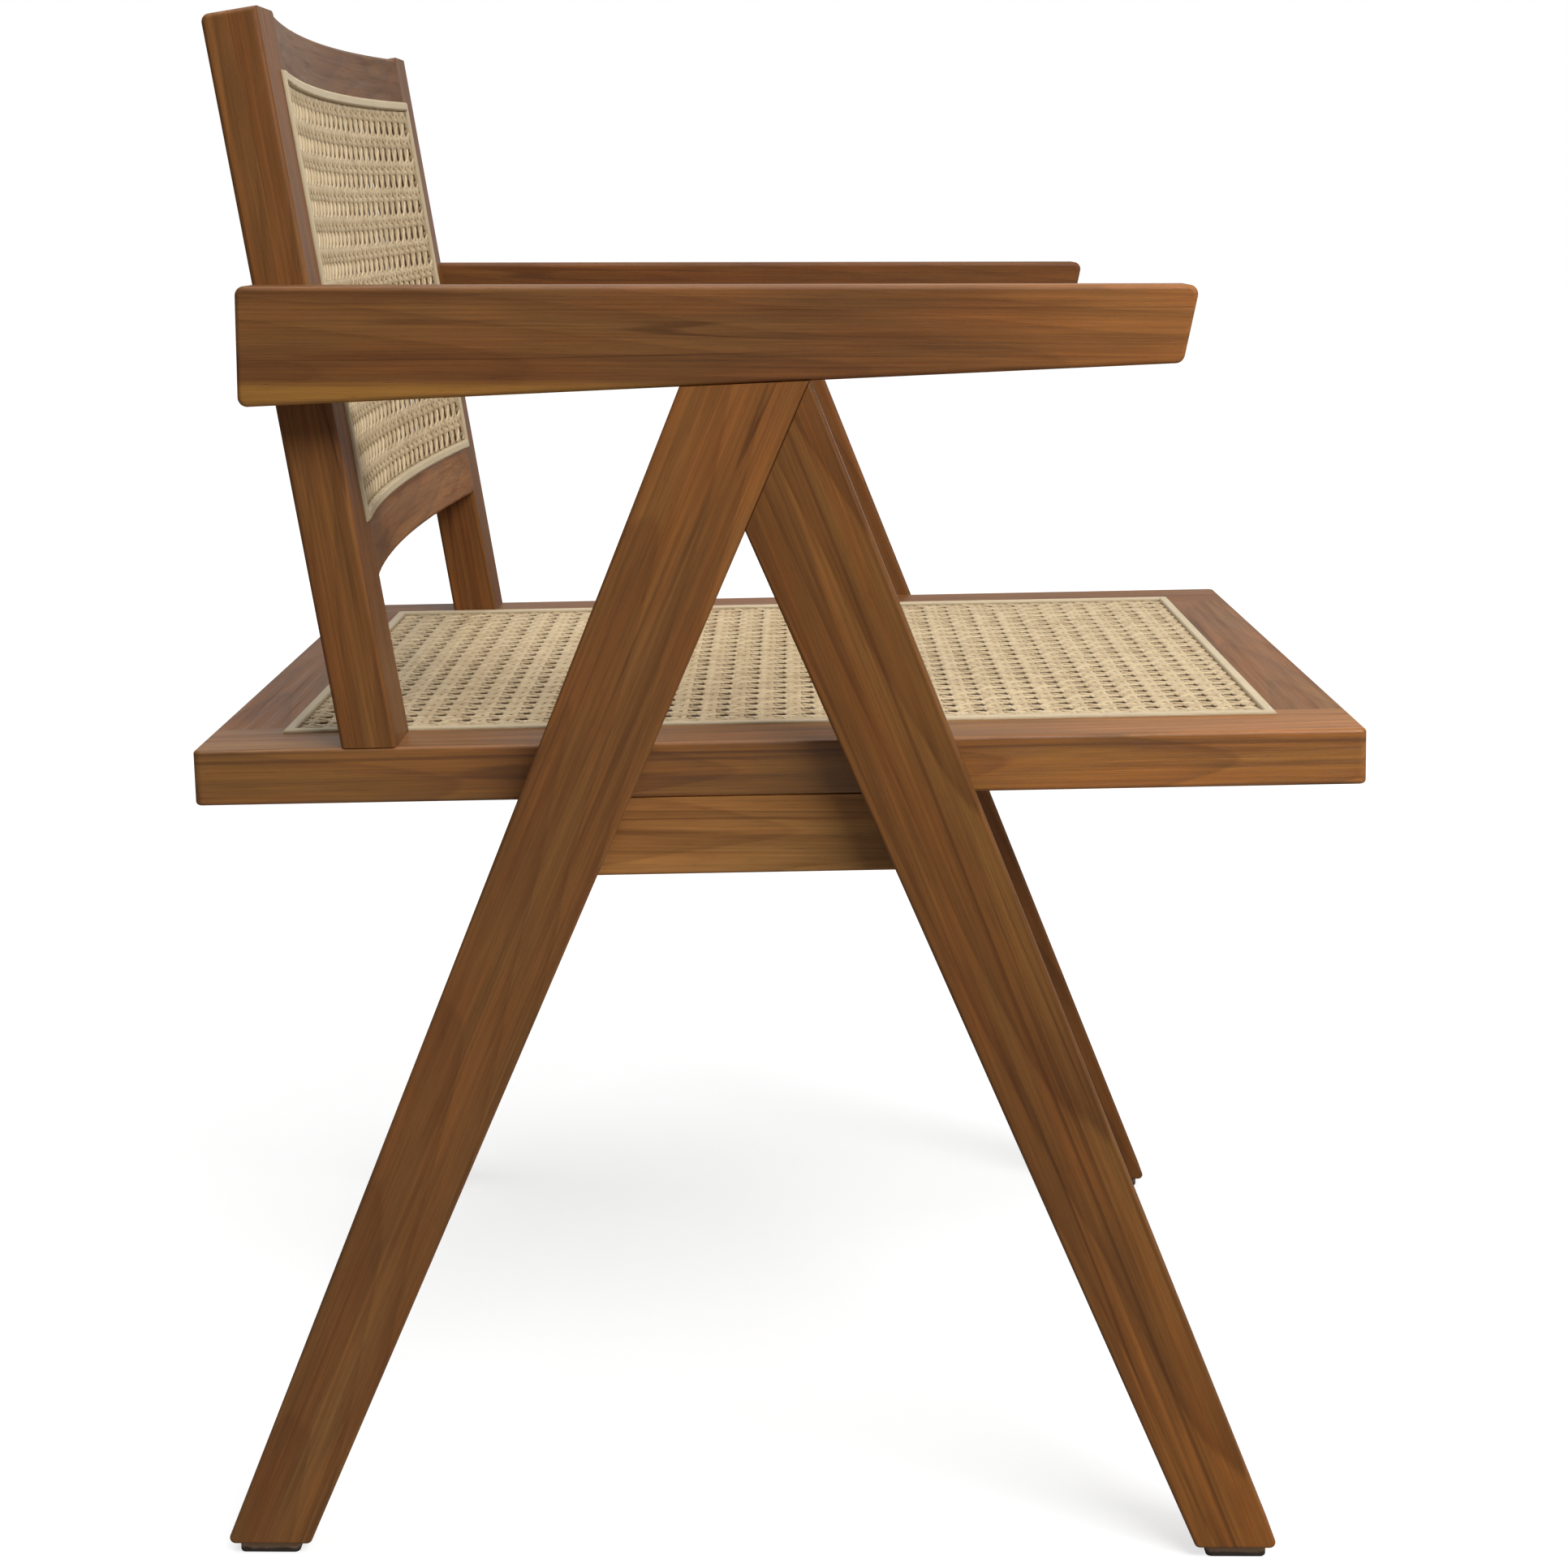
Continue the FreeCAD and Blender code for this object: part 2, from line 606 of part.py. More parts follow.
def back_post(name, side):
    body = piece(name, "back")
    side_prism(body, side, post_side(), POST_INNER, "dims.seat_half_width")
    rear = value("dims.post_depth")
    ease(body, "dims.post_back_corner", lambda edge: lies_at(edge, "z", 0) and lies_at(edge, "y", rear))
    outer = side * value("dims.seat_half_width")
    inner = side * value(POST_INNER)
    foot = -value(BACK_LOW_EDGE)

    def above_foot(edge):
        return any(point.z > foot for point in ends_of(edge))

    def inner_rear(edge):
        return lies_at(edge, "x", inner) and all(point.y > rear / 2 for point in ends_of(edge))
    ease(body, "dims.post_ease", lambda edge: lies_at(edge, "x", outer) and above_foot(edge))
    ease(body, "dims.post_ease", lambda edge: inner_rear(edge) and above_foot(edge))
    side_prism(body, side, tenon_side(), TENON_INNER, TENON_OUTER)
    spline = box_corners(f"(-{BACK_SPLINE_HALF})", BACK_SPLINE_HALF, BACK_SPLINE_LOW, BACK_SPLINE_TOP)
    cane = box_corners(f"(-{BACK_CANE_HALF})", BACK_CANE_HALF, BACK_CANE_LOW, BACK_CANE_TOP)
    cut(body, ring(sketch_on(body, "XZ_Plane", "0"), spline, cane), GROOVE_DEPTH, False)
    cut(body, draw(sketch_on(body, "XZ_Plane", "0"), cane), REBATE_DEPTH, False)
    return body


def bowed_band(sketch, front, rear, reach):
    """Plan of a layer that follows the back's bow, with straight ends out to the reach."""
    right = [(POST_INNER, front), (POST_INNER, rear)]
    left = [(f"(-{POST_INNER})", rear), (f"(-{POST_INNER})", front)]
    if reach is None:
        return draw(sketch, right + left, bowed=(1, 3))
    right = [right[0], (reach, front), (reach, rear), right[1]]
    left = [left[0], (f"(-{reach})", rear), (f"(-{reach})", front), left[1]]
    return draw(sketch, right + left, bowed=(3, 7))


def bowed_cut(body, low, high, depth):
    sketch = bowed_band(sketch_on(body, "XY_Plane", low), "(-dims.overrun)", depth, None)
    cut(body, sketch, f"(({high}) - ({low}))", True)


def back_rail(name, low, high, free_edge, groove, rebate):
    """Rail between two heights, with the heights of its free edge, its groove and its rebate."""
    body = piece(name, "back")
    sketch = bowed_band(sketch_on(body, "XY_Plane", low), "0", "dims.back_rail_thick", None)
    pad(body, sketch, f"({high} - {low})")
    level = value(free_edge)
    ease(body, "dims.rail_ease", lambda edge: lies_at(edge, "z", level) and not runs_along(edge, "y"))
    bowed_cut(body, groove[0], groove[1], GROOVE_DEPTH)
    bowed_cut(body, rebate[0], rebate[1], REBATE_DEPTH)
    return body


def back_cane():
    body = piece("back_cane", "back")
    low_plane = sketch_on(body, "XY_Plane", BACK_CANE_LOW)
    sketch = bowed_band(low_plane, "dims.cane_play", REBATE_DEPTH, BACK_CANE_HALF)
    pad(body, sketch, f"({BACK_CANE_TOP} - {BACK_CANE_LOW})")
    window = (f"(-{BACK_CANE_HALF})", BACK_CANE_HALF, BACK_CANE_LOW, BACK_CANE_TOP)
    counts = ("dims.back_opening_count_across", "dims.back_opening_count_up")
    through = f"({REBATE_DEPTH} + dims.back_bow + dims.overrun)"
    grid_of_openings(body, sketch_on(body, "XZ_Plane", "0"), window, counts, through)
    return body


def back_cane_spline():
    body = piece("back_cane_spline", "back")
    low_plane = sketch_on(body, "XY_Plane", BACK_SPLINE_LOW)
    sketch = bowed_band(low_plane, "(-dims.spline_bead)", "dims.spline_depth", BACK_SPLINE_HALF)
    pad(body, sketch, f"({BACK_SPLINE_TOP} - {BACK_SPLINE_LOW})")
    window = box_corners(f"(-{BACK_CANE_HALF})", BACK_CANE_HALF, BACK_CANE_LOW, BACK_CANE_TOP)
    ahead = "(dims.spline_bead + dims.overrun)"
    through = f"({ahead} + dims.back_bow + dims.spline_depth + dims.overrun)"
    cut(body, draw(sketch_on(body, "XZ_Plane", ahead), window), through, False)
    front, kink = -value("dims.spline_bead"), value(POST_INNER)

    def on_the_bead(edge):
        across_kink = any(lies_at(edge, "x", place) for place in (-kink, kink))
        return lies_at(edge, "y", front) and not across_kink
    ease(body, "dims.spline_ease", on_the_bead)
    return body


# Feet: a low block nailed under each leg

def foot_places():
    """Middle of each foot: name, side, place towards the back."""
    rear = f"({REAR_FOOT_BACK[0]} - dims.rear_foot_width / 2)"
    front = f"({FRONT_FOOT_FRONT[0]} + dims.front_foot_width / 2)"
    return [(f"{row}_{word}", side, back)
            for row, back in (("front", front), ("rear", rear))
            for word, side in (("left", 1), ("right", -1))]


def foot_glide(name, side, back):
    body = piece(name)
    middle = f"({side} * {BOARD_MIDDLE})"
    half = ("(dims.board_thick / 2 - dims.glide_inset)", "(dims.glide_length / 2)")
    corners = box_corners(f"({middle} - {half[0]})", f"({middle} + {half[0]})",
                          f"({back} - {half[1]})", f"({back} + {half[1]})")
    pad(body, draw(sketch_on(body, "XY_Plane", "0"), corners), "dims.glide_height")
    ease(body, "dims.glide_corner", lambda edge: runs_along(edge, "z"))
    ease(body, "dims.glide_ease", lambda edge: lies_at(edge, "z", 0))
    place = (middle, back)
    bore(body, "z", place, "0", "dims.nail_recess", "(dims.nail_head_radius + dims.dowel_play)")
    bore(body, "z", place, "0", "dims.glide_height", "(dims.nail_radius + dims.dowel_play)")
    return place


def glide_nail(number, place, leg_body):
    head_start, head_thick = "(dims.nail_recess - dims.nail_head_thick)", "dims.nail_head_thick"
    head = peg(f"nail_head_{number}", "z", place, head_start, head_thick, "dims.nail_head_radius")
    length = "(dims.glide_height - dims.nail_recess + dims.nail_grip)"
    shank = peg(f"nail_shank_{number}", "z", place, "dims.nail_recess", length, "dims.nail_radius")
    bore(leg_body, "z", place, "dims.glide_height", "dims.nail_grip", "(dims.nail_radius + dims.dowel_play)")
    nail = doc.addObject("Part::MultiFuse", f"nail_{number}")
    nail.Shapes = [head, shank]
    return nail


# The chair

rails = {}
legs = {}
for word, side in (("left", 1), ("right", -1)):
    rear = leg(f"rear_leg_{word}", side, REAR_LEG)
    front = leg(f"front_leg_{word}", side, FRONT_LEG)
    arm_body = arm(f"arm_{word}", side)
    rail = seat_side_rail(f"seat_side_rail_{word}", side)
    board = leg_stretcher(f"leg_stretcher_{word}", side)
    post = back_post(f"back_post_{word}", side)
    rails[side] = (rail, post)
    legs[("rear", side)] = rear
    legs[("front", side)] = front

    # Mortise for the post's tenon
    mortise = [to_seat(from_back(*corner)) for corner in tenon_side()]
    side_cut(rail, side, mortise, TENON_INNER, TENON_OUTER)

    # Legs to side rail, and to the stretcher board under it
    half_deep = "(dims.rail_thick / 2)"
    board_deep = "(dims.rail_thick + dims.stretcher_height / 2)"
    for body, edges in ((rear, REAR_LEG_EDGES), (front, FRONT_LEG_EDGES)):
        start, length = span(side, "(dims.seat_half_width - dims.dowel_grip)",
                             "(dims.seat_half_width + dims.board_grip)")
        dowel("leg_rail_dowels", "x", within_leg(*edges, half_deep, MIDDLE_SHARE), start, length,
              "dims.dowel_radius", ((body, upright), (rail, to_seat)))
        start, length = span(side, "(dims.seat_half_width - dims.stretcher_grip)",
                             "(dims.seat_half_width + dims.board_grip)")
        dowel("stretcher_dowels", "x", within_leg(*edges, board_deep, "(dims.stretcher_lap_share / 2)"),
              start, length, "dims.small_dowel_radius", ((body, upright), (board, upright)))

    # Leg to arm
    middle_x = f"({side} * {BOARD_MIDDLE})"
    for share in PAIR_SHARES:
        back = between(LEGS_MEET, REAR_LEG_TOP, share)[0]
        low = f"({arm_underside(back)} - dims.dowel_grip)"
        dowel("leg_arm_dowels", "z", (middle_x, back), low, "(2 * dims.dowel_grip)",
              "dims.small_dowel_radius", ((rear, upright), (arm_body, upright)))

    # Front leg to rear leg
    joint = between(CROTCH, LEGS_MEET, JOINT_SHARE)
    start = f"({joint[0]} - dims.small_dowel_grip)"
    dowel("leg_joint_dowels", "y", (middle_x, joint[1]), start, "(2 * dims.small_dowel_grip)",
          "dims.small_dowel_radius", ((front, upright), (rear, upright)))

    # Arm to back post
    arm_middle = "(dims.arm_top_back - dims.arm_depth_back / 2)"
    down = f"(({arm_middle} - {BACK_ORIGIN[1]} + dims.post_depth / 2 * sin({LEAN})) / cos({LEAN}))"
    start, length = span(side, "(dims.seat_half_width - dims.dowel_grip)",
                         "(dims.seat_half_width + dims.board_grip)")
    dowel("arm_post_dowels", "x", from_back("dims.post_depth / 2", down), start, length, "dims.dowel_radius",
          ((post, to_back), (arm_body, upright)))

# Seat frame: the cross rails, and dowels into the side rails
for name, end in (("seat_front_rail", -1), ("seat_rear_rail", 1)):
    cross = seat_cross_rail(name, end)
    for side in (1, -1):
        rail = rails[side][0]
        start, length = span(side, f"({RAIL_INNER} - dims.dowel_grip)", f"({RAIL_INNER} + dims.dowel_grip)")
        for share in PAIR_SHARES:
            along = f"({end} * ({CROSS_INNER} + {CROSS_RAIL_WIDTH} * {share}))"
            place = turned(along, f"(-{DEPTH_SHARE} * dims.rail_thick)", SLOPE, SEAT_ORIGIN)
            dowel("seat_frame_dowels", "x", place, start, length, "dims.small_dowel_radius",
                  ((rail, to_seat), (cross, to_seat)))

seat_cane()
seat_cane_spline()

# Back: the two rails, and dowels into the posts
TOP_HIGH = "(-dims.top_rail_drop)"
TOP_LOW = f"({TOP_HIGH} - {TOP_RAIL_HEIGHT})"
BOTTOM_LOW = f"(-{BACK_LOW_EDGE})"
BOTTOM_HIGH = f"({BOTTOM_LOW} + {LOW_RAIL_HEIGHT})"
top_rail = back_rail("back_top_rail", TOP_LOW, TOP_HIGH, TOP_HIGH,
                     (BACK_CANE_TOP, BACK_SPLINE_TOP), (TOP_LOW, BACK_CANE_TOP))
bottom_rail = back_rail("back_bottom_rail", BOTTOM_LOW, BOTTOM_HIGH, BOTTOM_LOW,
                        (BACK_SPLINE_LOW, BACK_CANE_LOW), (BACK_CANE_LOW, BOTTOM_HIGH))
for rail, low, high in ((top_rail, TOP_LOW, TOP_HIGH), (bottom_rail, BOTTOM_LOW, BOTTOM_HIGH)):
    for side in (1, -1):
        start, length = span(side, f"({POST_INNER} - dims.small_dowel_grip)",
                             f"({POST_INNER} + dims.small_dowel_grip)")
        for share in PAIR_SHARES:
            up = f"({low} + ({high} - {low}) * {share})"
            place = from_back(f"({DEPTH_SHARE} * dims.back_rail_thick)", up)
            dowel("back_rail_dowels", "x", place, start, length, "dims.small_dowel_radius",
                  ((rail, to_back), (rails[side][1], to_back)))

back_cane()
back_cane_spline()

# Feet
nails = []
for number, (word, side, back) in enumerate(foot_places(), start=1):
    row = word.split("_")[0]
    place = foot_glide(f"foot_glide_{word}", side, back)
    nails.append(glide_nail(number, place, legs[(row, side)]))
gather("glide_nails", nails)
for group, members in dowel_groups.items():
    gather(group, members)

doc.recompute()

# Every feature has to be sound before anything is written
for thing in doc.Objects:
    if {"Invalid", "Error"} & set(thing.State):
        raise RuntimeError(f"{thing.Label} is not sound: {thing.State}")
for thing in pieces:
    if thing.Shape.isNull() or not thing.Shape.isValid():
        raise RuntimeError(f"{thing.Label} has no valid shape")
for thing in pieces:
    thing.Shape.exportStep(f"parts/{thing.Label}.step")
    print(thing.Label, len(thing.Shape.Solids), "solids", round(thing.Shape.Volume), "mm3")
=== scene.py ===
import math

import bpy
import numpy as np
from mathutils import Matrix, Vector


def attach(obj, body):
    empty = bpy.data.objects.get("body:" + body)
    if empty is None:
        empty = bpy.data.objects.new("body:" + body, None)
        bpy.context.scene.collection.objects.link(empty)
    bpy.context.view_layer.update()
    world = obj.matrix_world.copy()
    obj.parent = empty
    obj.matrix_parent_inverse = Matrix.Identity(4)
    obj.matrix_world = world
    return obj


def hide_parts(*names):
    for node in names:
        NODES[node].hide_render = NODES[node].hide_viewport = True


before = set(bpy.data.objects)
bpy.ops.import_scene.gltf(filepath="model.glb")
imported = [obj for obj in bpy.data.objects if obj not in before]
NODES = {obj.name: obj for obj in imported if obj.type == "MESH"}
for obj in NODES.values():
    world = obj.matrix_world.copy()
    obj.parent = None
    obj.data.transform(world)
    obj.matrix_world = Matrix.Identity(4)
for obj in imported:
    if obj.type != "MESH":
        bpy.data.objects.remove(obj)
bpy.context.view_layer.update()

# Teak armchair with woven cane in the seat and in the bowed back.
# Metres; +Z up, the sitter faces -Y, the camera stands on the -X side. Colours are linear.

SCENE = bpy.context.scene

# Where the seat's top face and the back's front face lie, as in the frame
SEAT_SLOPE = math.radians(1.33)
SEAT_ORIGIN = (0.00035, 0.421)
RECLINE = math.radians(9.51)
BACK_ORIGIN = (0.2516, 0.7783)
BOW_REACH = 0.202
BOW = 0.012

# The cane's window: half the width, then both ends along the other way
SEAT_WINDOW = (0.1957, -0.2498, 0.2498)
BACK_WINDOW = (0.2040, -0.2506, -0.0348)
CANE_MIDDLE = 0.0013
SPLINE_WIDTH = 0.0058

# The weave: how far apart its holes are, and where one of them is
SEAT_PITCH = (0.0156, 0.01504)
SEAT_HOLE = (-0.1883, -0.2407)
BACK_PITCH = (0.01568, 0.0166)
BACK_HOLE = (0.1980, -0.0470)

# A strand: its section, the steps that it is built in, and how it sways in the weave's plane
STRAND_WIDTH = 0.0030
STRAND_THICK = 0.0018
PROFILE_POINTS = 8
STEP = 0.0025
SWAY = 0.00016
SWAY_TURNS = 70
SECOND_SWAY_SHARE = 0.5
SECOND_SWAY_TURNS = 3.1

# How far apart a pair's two strands are, and how the strands rise where they cross
PAIR_SPACING = 0.0046
PAIR_RISE = 0.00032
PAIR_REACH = PAIR_SPACING * 1.1
SLANT_RISE = 0.00050
SLANT_STEEPNESS = 2.2

# Fibres start anywhere within this length, so that no two strands look the same
FIBRE_SHIFT = 3


# Places on the seat and on the back

def on_seat(across, along, lift):
    """Seat place: across is X; along and lift turn by the seat's slope about its origin."""
    rise = lift - CANE_MIDDLE
    back = SEAT_ORIGIN[0] + along * math.cos(SEAT_SLOPE) + rise * math.sin(SEAT_SLOPE)
    up = SEAT_ORIGIN[1] - along * math.sin(SEAT_SLOPE) + rise * math.cos(SEAT_SLOPE)
    return np.stack([across, back, up], -1)


def bow_at(across):
    """Depth of the bow: an arc of a circle through the rails' ends, R = (h^2 + b^2) / 2b."""
    radius = (BOW_REACH ** 2 + BOW ** 2) / (2 * BOW)
    inside = np.minimum(np.abs(across), BOW_REACH)
    return np.sqrt(radius ** 2 - inside ** 2) - (radius - BOW)


def on_back(across, up, lift):
    """Back place: the lift points forwards from the bowed layer, which leans by the recline."""
    depth = bow_at(across) + CANE_MIDDLE - lift
    back = BACK_ORIGIN[0] + depth * math.cos(RECLINE) + up * math.sin(RECLINE)
    height = BACK_ORIGIN[1] - depth * math.sin(RECLINE) + up * math.cos(RECLINE)
    return np.stack([across, back, height], -1)


# Woven cane

def rounded(wave):
    """Signed square root, which squares up a circle's sine or cosine."""
    return np.sign(wave) * np.sqrt(np.abs(wave))


PROFILE_TURNS = 2 * np.pi * (np.arange(PROFILE_POINTS) + 0.5) / PROFILE_POINTS
PROFILE = np.stack([
    STRAND_WIDTH / 2 * rounded(np.cos(PROFILE_TURNS)),
    STRAND_THICK / 2 * rounded(np.sin(PROFILE_TURNS))], -1)


def flat_strand(start, finish, lift_along, place, rng):
    """Strand as a grid: the flat profile (w/2 sqrt|cos a|, t/2 sqrt|sin a|) carried from start
    to finish in the plane of the weave, lifted by a wave of the place that it has got to, and
    swaying sideways by s = A (sin(k t + p) + B sin(n k t + q))."""
    start, finish = np.array(start), np.array(finish)
    length = np.linalg.norm(finish - start)
    heading = (finish - start) / length
    side = np.array([-heading[1], heading[0]])
    count = max(2, int(math.ceil(length / STEP)) + 1)
    travel = np.linspace(0, length, count)
    middle = start + heading * travel[:, None]
    lift = lift_along(middle[:, 0], middle[:, 1])
    turns = travel * SWAY_TURNS
    phases = rng.uniform(0, 2 * np.pi, 2)
    second = SECOND_SWAY_SHARE * np.sin(SECOND_SWAY_TURNS * turns + phases[1])
    sway = SWAY * (np.sin(turns + phases[0]) + second)
    middle = middle + side * sway[:, None]
    across = middle[:, None, :] + side * PROFILE[None, :, :1]
    height = lift[:, None] + PROFILE[None, :, 1]
    return place(across[..., 0], across[..., 1], height), travel


def strand_mesh(name, strands, seed):
    """One mesh of many closed tubes, with a UV of travel and turn, and a tone for each strand."""
    rng = np.random.default_rng(seed)
    ring = PROFILE_POINTS
    points, faces, uvs, tones = [], [], [], []
    first = 0
    for grid, travel in strands:
        count = len(travel)
        points.append(grid.reshape(-1, 3))
        row, column = np.meshgrid(np.arange(count - 1), np.arange(ring), indexing="ij")
        after = (column + 1) % ring
        quads = np.stack([row * ring + column, row * ring + after,
                          (row + 1) * ring + after, (row + 1) * ring + column], -1)
        faces.append(quads.reshape(-1, 4) + first)
        begin = rng.uniform(0, FIBRE_SHIFT)
        turn = (column + 0.5) / ring
        corners = [(travel[row], turn), (travel[row], turn + 1 / ring),
                   (travel[row + 1], turn + 1 / ring), (travel[row + 1], turn)]
        uvs.append(np.stack([np.stack([along + begin, around], -1)
                             for along, around in corners], 2).reshape(-1, 2))
        tones.append(np.full(count * ring, rng.uniform(0, 1)))
        first += count * ring
    points, faces, uvs = np.concatenate(points), np.concatenate(faces), np.concatenate(uvs)
    ends = np.cumsum([len(travel) * ring for _, travel in strands])
    starts = np.concatenate([[0], ends[:-1]])
    caps = [tuple(int(i) for i in begin + np.arange(ring)[::-1]) for begin in starts]
    caps += [tuple(int(i) for i in end - ring + np.arange(ring)) for end in ends]
    mesh = bpy.data.meshes.new(name)
    mesh.from_pydata(points.tolist(), [], faces.tolist() + caps)
    layer = mesh.uv_layers.new(name="strand")
    data = np.zeros((len(mesh.loops), 2), np.float32)
    data[:len(uvs)] = uvs
    layer.data.foreach_set("uv", data.ravel())
    tone = mesh.attributes.new("tone", "FLOAT", "POINT")
    tone.data.foreach_set("value", np.concatenate(tones).astype(np.float32))
    mesh.polygons.foreach_set("use_smooth", np.ones(len(mesh.polygons), bool))
    mesh.update()
    return mesh


def pair_wave(offset):
    """Rise of a strand that goes under one strand of a crossing pair and over the other."""
    return PAIR_RISE * np.sin(np.pi * offset / PAIR_SPACING) * np.exp(-(offset / PAIR_REACH) ** 4)


def slant_ends(half, low, high, level, gradient):
    """Places where the line along = level + gradient (across + half) meets the window's edges."""
    ends = []
    for along in (low, high):
        across = -half + (along - level) / gradient
        if -half <= across <= half:
            ends.append((across, along))
    for across in (-half, half):
        along = level + gradient * (across + half)
        if low < along < high:
            ends.append((across, along))
    return sorted(ends)


def woven_cane(node, window, pitch, hole, place, material, seed):
    """Six-way weave of octagonal holes: strands in pairs both ways, and single diagonals that
    pass over one set of pairs and under the other."""
    half, low, high = window
    room = STRAND_WIDTH / 2
    rng = np.random.default_rng(seed)

    def pairs(axis, first, last, sign):
        """Pairs that stand side by side along the axis, between each two rows of holes."""
        begin = math.ceil((first + room - hole[axis]) / pitch[axis] - 0.5)
        end = math.floor((last - room - hole[axis]) / pitch[axis] - 0.5)
        made = []
        for number in range(begin, end + 1):
            for mate in (-1, 1):
                def rise(*spot, mate=mate):
                    turns = (spot[1 - axis] - hole[1 - axis]) / pitch[1 - axis]
                    offset = (turns - np.floor(turns) - 0.5) * pitch[1 - axis]
                    return sign * mate * pair_wave(offset)
                here = hole[axis] + (number + 0.5) * pitch[axis] + mate * PAIR_SPACING / 2
                if first + room < here < last - room:
                    start, finish = ((-half, here), (half, here)) if axis else ((here, low), (here, high))
                    made.append(flat_strand(start, finish, rise, place, rng))
        return made

    def slants(side):
        def rise(across, along):
            wave = np.cos(2 * np.pi * ((across - hole[0]) / pitch[0] - 0.5))
            return side * SLANT_RISE * np.tanh(SLANT_STEEPNESS * wave) / math.tanh(SLANT_STEEPNESS)
        gradient = side * pitch[1] / pitch[0]
        level = hole[1] - gradient * (hole[0] + half)
        count = int((abs(gradient) * 2 * half + (high - low)) / pitch[1]) + 2
        made = []
        for number in range(-count, count + 1):
            ends = slant_ends(half, low, high, level + (number + 0.5) * pitch[1], gradient)
            if len(ends) == 2 and math.dist(*ends) > STRAND_WIDTH:
                made.append(flat_strand(*ends, rise, place, rng))
        return made

    sets = {"warp": pairs(0, -half, half, 1), "weft": pairs(1, low, high, -1),
            "slant_left": slants(1), "slant_right": slants(-1)}
    for number, (part, strands) in enumerate(sets.items(), 1):
        mesh = strand_mesh(f"{node}_{part}", strands, seed + number)
        piece = bpy.data.objects.new(f"{node}_{part}", mesh)
        SCENE.collection.objects.link(piece)
        piece.data.materials.append(material)
        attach(piece, "root")
        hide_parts(node)


# Node helpers

def join(tree, value, socket):
    """Set a socket to a value, or join an output to it."""
    if isinstance(value, bpy.types.NodeSocket):
        tree.links.new(value, socket)
    else:
        socket.default_value = value


def add(tree, kind, settings=None, inputs=None):
    """Node with its settings, and each input set to a value or joined to an output."""
    made = tree.nodes.new(kind)
    for key, value in (settings or {}).items():
        setattr(made, key, value)
    for key, value in (inputs or {}).items():
        join(tree, value, made.inputs[key])
    return made


def maths(tree, operation, *values):
    return add(tree, "ShaderNodeMath", {"operation": operation}, dict(enumerate(values))).outputs[0]


def product(tree, *values):
    made = values[0]
    for value in values[1:]:
        made = maths(tree, "MULTIPLY", made, value)
    return made


def scaled(tree, value, slope, base):
    """value * slope + base"""
    return maths(tree, "ADD", maths(tree, "MULTIPLY", value, slope), base)


def swing(tree, value, size):
    """Noise about its middle: (value - 0.5) * size."""
    return maths(tree, "MULTIPLY", maths(tree, "SUBTRACT", value, 0.5), size)


def about_one(tree, value, size):
    return maths(tree, "ADD", swing(tree, value, size), 1.0)


def apart(tree, value, other):
    """Distance between two numbers."""
    return maths(tree, "ABSOLUTE", maths(tree, "SUBTRACT", value, other))


def separate(tree, vector):
    return add(tree, "ShaderNodeSeparateXYZ", {}, {"Vector": vector}).outputs


def combine(tree, *axes):
    return add(tree, "ShaderNodeCombineXYZ", {}, dict(enumerate(axes))).outputs[0]


def noises(tree, vector, table):
    """Noises by name; each has its scales, its shift, its detail and its roughness."""
    made = {}
    for name, (scale, shift, detail, roughness) in table.items():
        place = add(tree, "ShaderNodeMapping", {}, {
            "Vector": vector, "Scale": scale, "Location": shift}).outputs[0]
        made[name] = add(tree, "ShaderNodeTexNoise", {}, {
            "Vector": place, "Scale": 1.0, "Detail": detail, "Roughness": roughness}).outputs[0]
    return made


def between(tree, value, ends):
    """0 at the first end, 1 at the second, smooth in between."""
    inputs = {"Value": value, "From Min": ends[0], "From Max": ends[1], "To Min": 0.0, "To Max": 1.0}
    return add(tree, "ShaderNodeMapRange", {"interpolation_type": "SMOOTHSTEP"}, inputs).outputs[0]


def blend(tree, share, one, other, kind="MIX"):
    made = add(tree, "ShaderNodeMix", {"data_type": "RGBA", "blend_type": kind})
    for number, value in ((0, share), (6, one), (7, other)):
        join(tree, value, made.inputs[number])
    return made.outputs[2]


def shaded(tree, colour, shade):
    """Colour with each channel multiplied by the shade."""
    return blend(tree, 1.0, colour, combine(tree, shade, shade, shade), "MULTIPLY")


def mixed_shader(tree, share, one, other):
    made = tree.nodes.new("ShaderNodeMixShader")
    for socket, source in zip(made.inputs, (share, one, other)):
        tree.links.new(source, socket)
    return made.outputs[0]


def object_place(tree):
    return tree.nodes.new("ShaderNodeTexCoord").outputs["Object"]


COLOUR = "NodeSocketColor"
NUMBER = "NodeSocketFloat"
PLACE = "NodeSocketVector"


def group(name, inputs):
    """Empty node group that gives a colour, a roughness and a height."""
    tree = bpy.data.node_groups.new(name, "ShaderNodeTree")
    for label, kind in inputs.items():
        tree.interface.new_socket(name=label, in_out="INPUT", socket_type=kind)
    for label, kind in (("Color", COLOUR), ("Roughness", NUMBER), ("Height", NUMBER)):
        tree.interface.new_socket(name=label, in_out="OUTPUT", socket_type=kind)
    return tree, tree.nodes.new("NodeGroupInput").outputs, tree.nodes.new("NodeGroupOutput")


def give(tree, leave, colour, rough, height):
    for label, source in (("Color", colour), ("Roughness", rough), ("Height", height)):
        tree.links.new(source, leave.inputs[label])
    return tree


